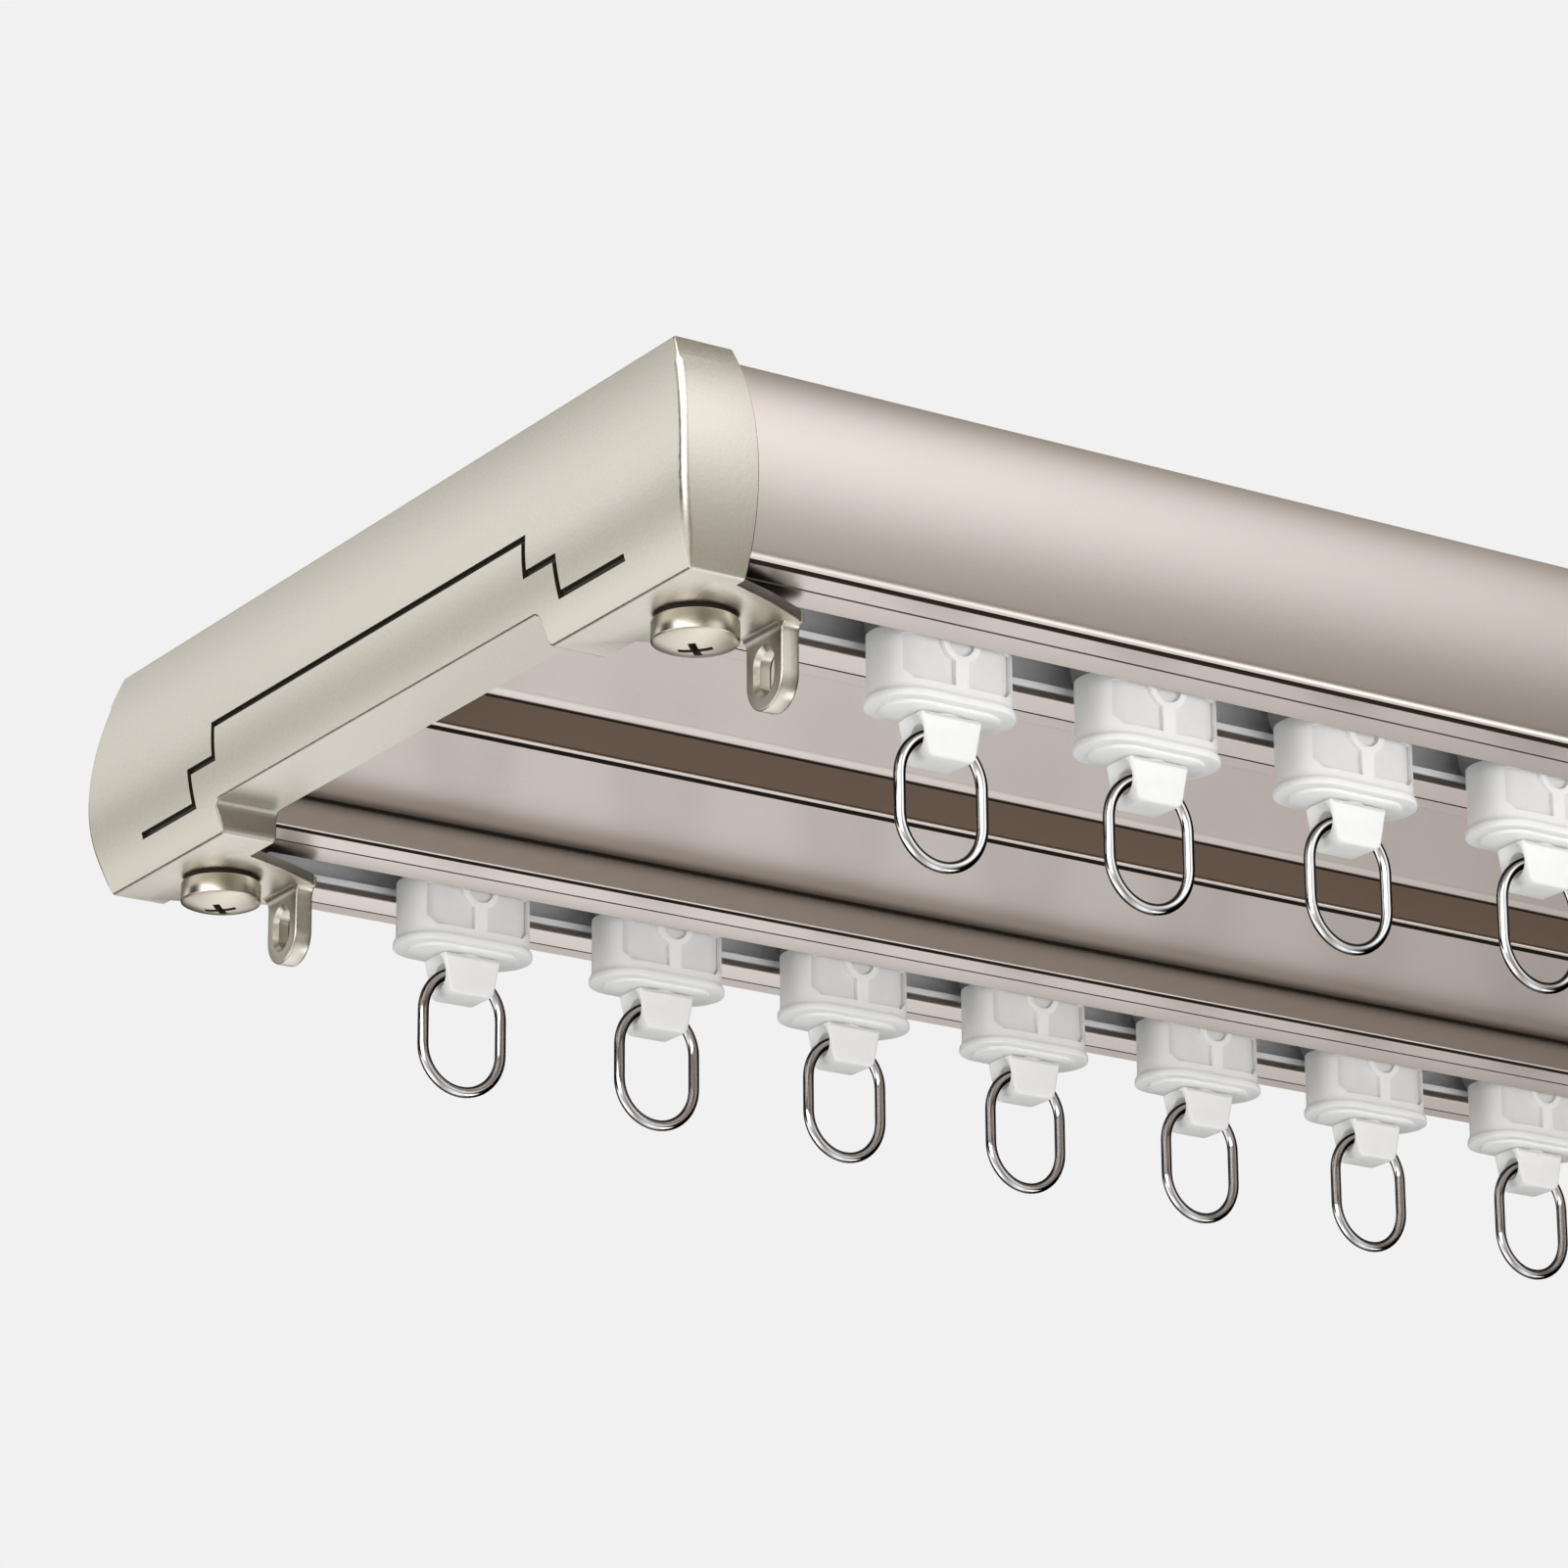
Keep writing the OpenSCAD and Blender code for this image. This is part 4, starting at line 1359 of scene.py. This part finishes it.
    def left(self) -> bpy.types.Object:
        """Bench item of the left cap."""
        item = self.shop.lay(self.shell(), self.palette.cap, self.palette.shaded_cap)
        self.shop.join(item, Join.CUT, self.shop.lay(self.room(), self.palette.cap))
        parts = [part for side in Side for part in self.tongue(side)]
        self.shop.join(item, Join.FUSE, *parts)
        self.shop.join(item, Join.CUT, *(self.eye(side) for side in Side))
        self.shop.join(item, Join.CUT, self.shop.lay(self.engraving(), self.palette.line))
        return item

    def build(self) -> None:
        """Makes both caps."""
        left = self.shop.again(self.left())
        right = self.shop.again(left)
        right.data.transform(Matrix.Scale(-1, 4, (1, 0, 0)))
        right.data.flip_normals()
        for item, word, sign in ((left, "left", 1), (right, "right", -1)):
            piece = self.shop.finish(f"cap_{word}", item, "track", [f"end_cap_{word}"], "cap_casting",
                                     smooth=35)
            self.even(piece, sign)

    def even(self, piece: bpy.types.Object, sign: float) -> None:
        """Gives the bulging end wall the normals of its true curve, whatever its triangles.

        Args:
            piece: The finished cap.
            sign: 1 for the left cap, -1 for the right one.
        """
        data = piece.data
        outward, near = 0.85, 0.02
        normals = [Vector((0, 0, 0))] * len(data.loops)
        for face in data.polygons:
            spots = [data.vertices[v].co / MM for v in face.vertices]
            off = max(abs(p.x * sign - self.wall_x(p.z)) for p in spots)
            if face.normal.x * sign > -outward or off > near:
                continue
            for loop, spot in zip(face.loop_indices, spots):
                rise, radius = self.bulge(spot.z)
                lean = rise / radius
                normals[loop] = Vector((-sign * math.sqrt(1 - lean ** 2), 0, lean))
        data.normals_split_custom_set(normals)


@dataclass
class ScrewPieces(Pieces):
    """Builds the four cap screws."""

    cap: Cap = field(default_factory=Cap)
    screw: Screw = field(default_factory=Screw)

    def one(self) -> bpy.types.Object:
        """One screw with its head below height 0 and its shank above."""
        screw = self.screw
        head = screw.head / 2
        low = -screw.rim
        sphere = (head ** 2 + screw.dome ** 2) / (2 * screw.dome)
        dome = [(head * s, low - screw.dome + sphere - math.sqrt(sphere ** 2 - (head * s) ** 2))
                for s in (0.25, 0.5, 0.7, 0.85, 0.93)]
        profile = [(0, low - screw.dome)] + dome
        profile += [(head - 0.07, low - 0.01), (head - 0.01, low + 0.06), (head, low + 0.15)]
        profile += [(head, -screw.gap - 0.25), (head - 0.1, -screw.gap - 0.06), (head - 0.25, -screw.gap)]
        profile += [(screw.neck / 2, -screw.gap), (screw.neck / 2, 0.0), (screw.shank / 2, 0.0)]
        tip = self.screw.top - self.track.height
        profile += [(screw.shank / 2, tip - 0.3), (screw.shank / 2 - 0.4, tip), (0, tip)]
        solid = turned(profile, 72)
        # The neck and the head's top take the near-black groove colour: a painted shadow line under the
        # head
        for face in solid.faces:
            middle = face.calc_center_median()
            face.material_index = int(middle.z > -screw.gap - 0.03)
        item = self.shop.lay(solid, self.palette.screw, self.palette.groove)
        floor = low - screw.dome
        # Height, half length and width as a share of the length, past the face and at the floor
        stations = ((floor - OVER, screw.cross / 2 + 0.35, screw.mouth_share),
                    (floor + screw.cross_depth, screw.cross / 2 - 0.5, screw.floor_share))
        # The arms of the cross recess carry the near-black line colour into the recess: painted shade
        for angle in (45, 135):
            arm = loft([[Vector((x * w, y * w, z)) for x, y in ((1, s), (-1, s), (-1, -s), (1, -s))]
                        for z, w, s in stations])
            turn = Matrix.Rotation(math.radians(angle), 3, "Z")
            bmesh.ops.rotate(arm, cent=(0, 0, 0), matrix=turn, verts=arm.verts)
            self.shop.join(item, Join.CUT, self.shop.lay(arm, self.palette.line))
        return self.shop.again(item)

    def build(self) -> None:
        """Sets the screw at its four places with a node tree and finishes them as one piece."""
        places = RepeatTree("Screw places", self.palette.screw)
        pitch = (2 * (self.track.end - self.screw.inset), self.screw.pitch)
        height = self.track.lip - self.cap.floor
        item = places.apply(self.shop, self.one(), pitch, height)
        self.shop.finish("cap_screw_set", item, "track", ["cap_screws"], "plated_screw", smooth=32)


class RepeatTree:
    """Node tree that sets a piece at the four corners of a rectangle."""

    def __init__(self, name: str, material: bpy.types.Material) -> None:
        """Builds the tree.

        Args:
            name: Name of the tree.
            material: Material that the pieces get where they carry none.
        """
        self.tree = bpy.data.node_groups.new(name, "GeometryNodeTree")
        face = self.tree.interface
        face.new_socket("Geometry", in_out="INPUT", socket_type="NodeSocketGeometry")
        for label in ("Piece", "Pitch X", "Pitch Y", "Height"):
            kind = "NodeSocketObject" if label == "Piece" else "NodeSocketFloat"
            face.new_socket(label, in_out="INPUT", socket_type=kind)
        face.new_socket("Geometry", in_out="OUTPUT", socket_type="NodeSocketGeometry")
        graph = Graph(self.tree)
        given = graph.add("NodeGroupInput").outputs
        grid = graph.add("GeometryNodeMeshGrid", {
            "Vertices X": 2, "Vertices Y": 2, "Size X": given["Pitch X"], "Size Y": given["Pitch Y"]})
        lift = graph.add("ShaderNodeCombineXYZ", {"Z": given["Height"]})
        move = graph.add("GeometryNodeTransform", {
            "Geometry": grid.outputs["Mesh"], "Translation": lift.outputs[0]})
        piece = graph.add("GeometryNodeObjectInfo", {"Object": given["Piece"]})
        spread = graph.add("GeometryNodeInstanceOnPoints", {
            "Points": move.outputs[0], "Instance": piece.outputs["Geometry"]})
        real = graph.add("GeometryNodeRealizeInstances", {0: spread.outputs[0]})
        slot = graph.add("GeometryNodeInputMaterialIndex")
        bare = graph.add("FunctionNodeCompare", {"A": slot.outputs[0]}, data_type="INT", operation="EQUAL")
        dress = graph.add("GeometryNodeSetMaterial", {
            "Material": material, "Geometry": real.outputs[0], "Selection": bare.outputs[0]})
        graph.add("NodeGroupOutput", {"Geometry": dress.outputs[0]})

    def apply(self, shop: Workshop, piece: bpy.types.Object, pitch: Point,
              height: float) -> bpy.types.Object:
        """Repeats a bench item.

        Args:
            shop: The workshop.
            piece: Bench item at the origin.
            pitch: Distances between the places along X and Y.
            height: Height of the places.

        Returns:
            The bench item with all copies.
        """
        item = shop.lay(bmesh.new())
        step = item.modifiers.new("repeat", "NODES")
        step.node_group = self.tree
        values = {"Piece": piece, "Pitch X": pitch[0], "Pitch Y": pitch[1], "Height": height}
        set_inputs(step, values)
        return shop.again(item)


def set_inputs(step: bpy.types.NodesModifier, values: dict[str, object]) -> None:
    """Sets a node modifier's named inputs.

    Args:
        step: The modifier.
        values: Value for each input's name.
    """
    for socket in step.node_group.interface.items_tree:
        if socket.item_type == "SOCKET" and socket.in_out == "INPUT" and socket.name in values:
            step[socket.identifier] = values[socket.name]


class RingTree:
    """Node tree of a wire ring with two straight sides, hung in the plane of X and Z."""

    def __init__(self, material: bpy.types.Material) -> None:
        """Builds the tree.

        Args:
            material: Material of the wire.
        """
        self.tree = bpy.data.node_groups.new("Wire ring", "GeometryNodeTree")
        face = self.tree.interface
        face.new_socket("Geometry", in_out="INPUT", socket_type="NodeSocketGeometry")
        for label in ("End Radius", "Side", "Wire Radius"):
            face.new_socket(label, in_out="INPUT", socket_type="NodeSocketFloat")
        face.new_socket("Centre", in_out="INPUT", socket_type="NodeSocketVector")
        face.new_socket("Geometry", in_out="OUTPUT", socket_type="NodeSocketGeometry")
        graph = Graph(self.tree)
        given = graph.add("NodeGroupInput").outputs
        width = graph.maths("MULTIPLY", given["End Radius"], 2)
        height = graph.maths("ADD", width, given["Side"])
        frame = graph.add("GeometryNodeCurvePrimitiveQuadrilateral", {"Width": width, "Height": height})
        # A hair less than the full radius leaves the two rounds of an end apart
        radius = graph.maths("MULTIPLY", given["End Radius"], 0.9999)
        bend = graph.add("GeometryNodeFilletCurve", {
            "Count": 14, "Limit Radius": True, "Curve": frame.outputs[0], "Radius": radius}, mode="POLY")
        wire = graph.add("GeometryNodeCurvePrimitiveCircle", {
            "Resolution": 20, "Radius": given["Wire Radius"]})
        skinned = graph.add("GeometryNodeCurveToMesh", {
            "Curve": bend.outputs[0], "Profile Curve": wire.outputs[0]})
        stand = graph.add("GeometryNodeTransform", {
            "Rotation": (math.radians(90), 0, 0), "Geometry": skinned.outputs[0],
            "Translation": given["Centre"]})
        real = graph.add("GeometryNodeRealizeInstances", {0: stand.outputs[0]})
        dress = graph.add("GeometryNodeSetMaterial", {"Material": material, "Geometry": real.outputs[0]})
        graph.add("NodeGroupOutput", {"Geometry": dress.outputs[0]})

    def ring(self, shop: Workshop, glider: Glider, centre: Sequence[float]) -> bpy.types.Object:
        """Bench item of one ring.

        Args:
            shop: The workshop.
            glider: Sizes of the ring.
            centre: Centre of the ring.

        Returns:
            The item.
        """
        item = shop.lay(bmesh.new())
        step = item.modifiers.new("ring", "NODES")
        step.node_group = self.tree
        set_inputs(step, {"End Radius": glider.ring_radius, "Side": glider.ring_side,
                          "Wire Radius": glider.wire / 2, "Centre": tuple(centre)})
        return shop.again(item)


@dataclass
class GliderPieces(Pieces):
    """Builds both rows of gliders, heights counted from the lips."""

    glider: Glider = field(default_factory=Glider)

    def body_profile(self) -> list[Point]:
        """How far the carriage body stands out at each height below the lips."""
        g = self.glider
        out, low = g.flange_out, -g.drop
        edge = low + g.flange_thick
        flare = [(out * (1 - math.cos(math.radians(a))), edge + 0.9 * (1 - math.sin(math.radians(a))))
                 for a in (0, 20, 40, 60, 78)]
        return [(0.0, g.neck_up)] + flare + [
            (out, edge - 0.25), (out, low + 0.2), (out - 0.06, low + 0.06), (out - 0.2, low)]

    @staticmethod
    def level(length: float, width: float, height: float) -> list[Vector]:
        """Long oval of places at one height."""
        return [Vector((x, y, height)) for x, y in oval(length, width, 20)]

    def carriage(self) -> bpy.types.Object:
        """Bench item of the carriage body with its panels and step."""
        g, nylon = self.glider, self.palette.nylon
        rings = [self.level(g.length + 2 * grow, g.width + 2 * grow, z) for grow, z in self.body_profile()]
        item = self.shop.lay(loft(rings), nylon)
        foot, bevel = -g.drop - g.step_high, 0.24
        step = [self.level(g.step_length, g.step_width, -g.drop + 0.3),
                self.level(g.step_length, g.step_width, foot + 0.1),
                self.level(g.step_length - bevel, g.step_width - bevel, foot)]
        axle = [(-g.block_radius, g.neck_up - 0.2), (g.block_radius, g.neck_up - 0.2)]
        axle += arc((0, g.axle_up), g.block_radius, 0, 180, 20)
        head = prism(axle, along_y, -g.block_width / 2, g.block_width / 2)
        self.shop.join(item, Join.FUSE, self.shop.lay(loft(step), nylon), self.shop.lay(head, nylon))
        deep = 2 * g.panel_depth
        core = [self.level(g.length - deep, g.width - deep, z) for z in (-g.drop, 3)]
        for sign in (-1, 1):
            for outline in self.panels():
                cutter = self.shop.lay(prism(outline, along_y, 0, sign * (g.width / 2 + OVER)), nylon)
                # The panels' floors take the darker panel nylon: painted shade in the recesses
                self.shop.join(cutter, Join.CUT, self.shop.lay(loft(core), self.palette.panel))
                self.shop.join(item, Join.CUT, self.shop.again(cutter))
        bores = [rod(g.axle_bore, (0, -9, g.axle_up), (0, 9, g.axle_up)),
                 rod(g.stem + 0.05, (0, 0, foot - OVER), (0, 0, -1.2))]
        self.shop.join(item, Join.CUT, *(self.shop.lay(b, nylon) for b in bores))
        return self.shop.again(item)

    def panels(self) -> list[list[Point]]:
        """Outlines of the sunken panels: one to each side of the rib, and the hollow in the boss."""
        g = self.glider
        far, near = g.length / 2 - g.panel_end, g.rib / 2
        start = math.degrees(math.asin((g.panel_up - g.boss_up) / g.boss))
        stop = -math.degrees(math.acos(near / g.boss))
        left = [(-far, g.panel_up), (-far, g.panel_bevel - g.panel_low),
                (g.panel_bevel - far, -g.panel_low), (-near, -g.panel_low)]
        left += arc((0, g.boss_up), g.boss, 180 - stop, 180 - start, 10)
        right = flipped(left)
        drop = math.degrees(math.asin((g.panel_up - g.boss_up) / g.boss_in))
        hollow = arc((0, g.boss_up), g.boss_in, -180 - drop, drop, 18)
        return [right, left, hollow]

    def hook(self) -> bpy.types.Object:
        """Bench item of the hook block with its bore and stem."""
        g = self.glider
        top = -g.drop - g.step_high - g.hook_gap
        foot = -g.hook_drop
        half = [(0, foot), (g.hook_foot / 2, foot), (g.hook_top / 2, top), (0, top)]
        half = rounded(half, {1: g.hook_round, 2: 0.3}, 6)
        view = mirrored(half[1:-1])
        item = self.shop.lay(prism(view, along_y, -g.hook_thick / 2, g.hook_thick / 2, (0.5, 0.5)),
                             self.palette.nylon)
        stem = self.shop.lay(rod(g.stem, (0, 0, top - 1), (0, 0, -0.6)), self.palette.nylon)
        self.shop.join(item, Join.FUSE, stem)
        share = (g.ring_axis - g.drop - g.step_high - g.hook_gap) / (g.hook_drop + top)
        mouth = g.hook_top / 2 - share * (g.hook_top - g.hook_foot) / 2
        rings = [[Vector((x, a, b)) for a, b in
                  arc((0, -g.ring_axis), g.ring_bore + grow, 0, 360, 32)[:-1]]
                 for x, grow in flared(-mouth, mouth, g.bore_bevel)]
        self.shop.join(item, Join.CUT, self.shop.lay(loft(rings), self.palette.nylon))
        return self.shop.again(item)

    def build(self) -> None:
        """Makes every glider of both rows."""
        g, lip = self.glider, self.track.lip
        carriage, hook = self.carriage(), self.hook()
        centre = (0, 0, -g.ring_axis + g.ring_sag - g.ring_radius - g.ring_side / 2)
        ring = RingTree(self.palette.chrome).ring(self.shop, g, centre)
        for side, count in ((Side.FRONT, g.front_count), (Side.BACK, g.back_count)):
            for i in range(count):
                place = (-self.track.end + g.first + i * g.pitch, side.value * self.track.channel, lip)
                tail = f"{side.word}_{{}}_{i + 1}".format
                for item, node, name, slot in (
                        (carriage, "carriage", "glider_body", "white_nylon"),
                        (hook, "swivel", "hook_block", "white_nylon"),
                        (ring, "ring", "wire_ring", "chrome_ring")):
                    body = tail(node)
                    piece = self.shop.finish(tail(name), item, body, [body], slot, move=place, smooth=40)
                    piece.visible_glossy = item is ring


@dataclass(frozen=True)
class Lamp:
    """A soft lamp, with places and sizes in metres and its power in watts."""

    name: str
    place: tuple[float, float, float]
    target: tuple[float, float, float]
    size: Point
    power: float

    def hang(self) -> None:
        """Hangs the lamp in the scene, where mirrors do not show it."""
        data = bpy.data.lights.new(self.name, "AREA")
        data.shape = "RECTANGLE"
        data.size, data.size_y = self.size
        data.energy = self.power
        lamp = put(self.name, data)
        lamp.location = self.place
        lamp.rotation_mode = "QUATERNION"
        way = Vector(self.target) - Vector(self.place)
        lamp.rotation_quaternion = way.to_track_quat("-Z", "Y")
        lamp.visible_glossy = False


@dataclass(frozen=True)
class Studio:
    """Camera at the photograph's place, soft lamps, a pale floor and a pale world."""

    eye: tuple[float, float, float] = (-635.6, -597.5, -267.5)
    heading: float = 33.15
    pitch: float = 18.94
    roll: float = -0.342
    image: float = 1601.0
    focal_pixels: float = 6372.0
    sensor: float = 36.0
    background: Colour = (0.879, 0.879, 0.879)
    floor_down: float = 2.75
    floor_size: float = 14.0
    glow: float = 0.55
    lamps: tuple[Lamp, ...] = (
        Lamp("Key", (-0.15, -0.72, -0.24), (-0.15, 0, -0.05), (0.7, 0.5), 3.5),
        Lamp("Left", (-1.3, 0.1, -0.35), (-0.25, 0, -0.05), (0.7, 0.7), 4.2))
    front_light: tuple[Point, ...] = (
        (-0.9, 1.0), (-0.72, 0.8), (-0.6, 0.6), (-0.46, 0.36), (-0.3, 0.5), (-0.18, 0.64), (0.03, 0.7),
        (0.18, 0.9), (0.33, 1.1), (0.46, 1.28), (0.6, 1.38), (0.76, 1.34), (0.84, 1.08), (0.92, 0.5),
        (1.0, 0.3))
    back_light: tuple[Point, ...] = (
        (-0.85, 1.2), (-0.6, 1.0), (-0.32, 0.9), (-0.18, 1.02), (-0.06, 1.06), (0.02, 0.84), (0.1, 0.56),
        (0.2, 0.52), (0.32, 1.08), (0.42, 1.45), (0.54, 1.3), (0.7, 0.5), (0.85, 0.1))
    across: tuple[Point, ...] = (
        (-0.7, 1.35), (-0.5, 1.05), (-0.35, 0.65), (-0.2, 0.45), (0.0, 0.6), (0.2, 0.95), (0.35, 1.1),
        (0.49, 1.0), (0.56, 0.84), (0.61, 0.66), (0.68, 0.28), (0.75, 0.02))
    glints: tuple[tuple[tuple[float, float, float], Point], ...] = (
        ((-0.79, -0.52, 0.33), (0.78, 0.93)), ((-0.42, -0.22, 0.88), (0.82, 0.95)),
        ((0.68, -0.3, -0.67), (0.965, 0.998)))
    glint_level: float = 2.6
    warmth: tuple[tuple[float, Colour], ...] = (
        (0.0, (1.0, 0.66, 0.42)), (0.12, (1.0, 0.8, 0.63)), (0.4, (1.0, 0.95, 0.86)),
        (0.85, (1.0, 1.0, 1.0)))
    dark: tuple[tuple[tuple[float, float, float], Point], ...] = (
        ((0.50, 0.78, 0.38), (0.92, 0.8)), ((-0.93, 0.16, 0.33), (0.9, 0.81)),
        ((-0.35, 0.78, -0.52), (0.98, 0.93)), ((0.15, 0.98, 0.0), (0.966, 0.906)))

    def camera(self) -> None:
        """Sets up the camera."""
        data = bpy.data.cameras.new("Camera")
        data.sensor_width = self.sensor
        data.lens = self.focal_pixels / self.image * self.sensor
        data.clip_start, data.clip_end = 0.01, 100
        eye = put("Camera", data)
        heading, pitch = math.radians(self.heading), math.radians(self.pitch)
        level = math.cos(pitch)
        ahead = Vector((math.sin(heading) * level, math.cos(heading) * level, math.sin(pitch)))
        right = Vector((math.cos(heading), -math.sin(heading), 0))
        up = right.cross(ahead)
        roll = math.radians(self.roll)
        side = right * math.cos(roll) + up * math.sin(roll)
        top = up * math.cos(roll) - right * math.sin(roll)
        turn = Matrix((side, top, -ahead)).transposed()
        eye.matrix_world = Matrix.Translation(Vector(self.eye) * MM) @ turn.to_4x4()
        bpy.context.scene.camera = eye

    def floor(self) -> None:
        """Pale floor of the room, far below the track."""
        mesh = bmesh.new()
        bmesh.ops.create_grid(mesh, x_segments=1, y_segments=1, size=self.floor_size / 2,
                              matrix=Matrix.Translation((0, 0, -self.floor_down)))
        data = bpy.data.meshes.new("floor")
        mesh.to_mesh(data)
        mesh.free()
        paint = bpy.data.materials.new("Pale floor")
        paint.use_nodes = True
        Graph(paint.node_tree).feed(paint.node_tree.nodes["Principled BSDF"], {
            "Base Color": (0.8, 0.8, 0.79, 1), "Roughness": 0.8})
        data.materials.append(paint)
        floor = put("floor", data)
        floor.visible_glossy = False

    def world(self) -> None:
        """Pale world for the camera and for reflections, dimmer light for the rest."""
        world = bpy.data.worlds.new("Studio")
        bpy.context.scene.world = world
        world.use_nodes = True
        graph = Graph(world.node_tree)
        graph.tree.nodes.clear()
        path = graph.add("ShaderNodeLightPath").outputs
        shown = graph.add("ShaderNodeBackground", {"Color": (*self.background, 1)})
        glow = graph.add("ShaderNodeBackground", {"Color": (1, 1, 1, 1), "Strength": self.glow})
        seen = graph.maths("MAXIMUM", path["Is Camera Ray"], path["Is Transmission Ray"])
        light = graph.add("ShaderNodeMixShader", {
            0: path["Is Glossy Ray"], 1: glow.outputs[0], 2: self._mirror(graph)})
        pick = graph.add("ShaderNodeMixShader", {0: seen, 1: light.outputs[0], 2: shown.outputs[0]})
        graph.add("ShaderNodeOutputWorld", {"Surface": pick.outputs[0]})

    def _mirror(self, graph: Graph) -> bpy.types.NodeSocket:
        """Background that metal reflects: bands of light in front and behind, with darker parts between.

        Args:
            graph: The world's graph.

        Returns:
            The background's socket.
        """
        coords = graph.add("ShaderNodeTexCoord").outputs["Generated"]
        split = graph.add("ShaderNodeSeparateXYZ", {0: coords}).outputs
        bands = []
        for axis, stops in (("Z", self.front_light), ("Z", self.back_light), ("X", self.across)):
            ramp = graph.add("ShaderNodeMapRange", {"From Min": -1, "Value": split[axis]})
            band = graph.add("ShaderNodeFloatCurve", {"Value": ramp.outputs[0]})
            self._stops(band, stops)
            bands.append(band.outputs[0])
        side = graph.add("ShaderNodeMapRange", {"From Min": -0.3, "From Max": 0.3, "Value": split["Y"]},
                         interpolation_type="SMOOTHSTEP")
        result = graph.blend(side.outputs[0], bands[0], bands[1], "FLOAT")
        for factor in (bands[2], *(self._lobe(graph, coords, way, reach) for way, reach in self.dark)):
            result = graph.maths("MULTIPLY", result, factor)
        for way, reach in self.glints:
            result = graph.blend(self._lobe(graph, coords, way, reach), result, self.glint_level, "FLOAT")
        warm = graph.add("ShaderNodeValToRGB", {0: result})
        for place, (where, colour) in enumerate(self.warmth):
            stop = warm.color_ramp.elements[0] if place == 0 else warm.color_ramp.elements.new(where)
            stop.position, stop.color = where, (*colour, 1)
        warm.color_ramp.elements.remove(warm.color_ramp.elements[-1])
        mirror = graph.add("ShaderNodeBackground", {"Color": warm.outputs[0], "Strength": result})
        return mirror.outputs[0]

    @staticmethod
    def _stops(band: bpy.types.Node, stops: Sequence[Point]) -> None:
        """Sets a curve to straight stretches between stops.

        Args:
            band: The curve node.
            stops: Direction from -1 to 1 and level of each stop.
        """
        curve = band.mapping.curves[0]
        band.mapping.use_clip = False
        inner = [(rise * 0.5 + 0.5, level) for rise, level in stops]
        for place, where, level in ((0, 0.0, inner[0][1]), (-1, 1.0, inner[-1][1])):
            curve.points[place].location = (where, level)
            curve.points[place].handle_type = "VECTOR"
        for where, level in inner:
            if 0.0 < where < 1.0:
                curve.points.new(where, level).handle_type = "VECTOR"
        band.mapping.update()

    @staticmethod
    def _lobe(graph: Graph, coords: bpy.types.NodeSocket, way: Sequence[float],
              reach: Point) -> bpy.types.NodeSocket:
        """Value that goes from 0 to 1 with the angle to a direction.

        Args:
            graph: The world's graph.
            coords: Socket of the world's coordinates.
            way: The direction.
            reach: Cosine of the angle at which the value is 0, and at which it is 1.

        Returns:
            The value's socket.
        """
        near = graph.add("ShaderNodeVectorMath", {0: coords, 1: Vector(way).normalized()},
                         operation="DOT_PRODUCT")
        falls = reach[0] > reach[1]
        spot = graph.add("ShaderNodeMapRange", {
            "From Min": min(reach), "From Max": max(reach), "To Min": float(falls),
            "To Max": float(not falls), "Value": near.outputs["Value"]}, interpolation_type="SMOOTHSTEP")
        return spot.outputs[0]

    def build(self) -> None:
        """Sets up the whole studio."""
        self.world()
        self.floor()
        for lamp in self.lamps:
            lamp.hang()
        bpy.context.scene.view_settings.view_transform = "Standard"


def dress_frame(frame: dict, palette: Palette) -> None:
    """Gives the construction's own solids that stay in view their materials.

    Args:
        palette: The materials.
    """
    for name, node in frame["nodes"].items():
        kind = next((m for word, m in (("liner", palette.liner), ("nuts", palette.nut),
                                       ("wheels", palette.wheel)) if word in name), None)
        if kind:
            for slot in node.material_slots:
                slot.material = kind


def main() -> None:
    """Builds the studio and every piece."""
    logging.basicConfig(level=logging.INFO, format="%(name)s: %(message)s")
    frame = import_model()
    studio = Studio()
    studio.camera()
    studio.build()
    palette = Palette()
    shop = Workshop()
    dress_frame(frame, palette)
    RailPieces(shop, palette).build()
    CapPieces(shop, palette).build()
    ScrewPieces(shop, palette).build()
    GliderPieces(shop, palette).build()
    shop.clear()


if __name__ == "__main__":
    main()
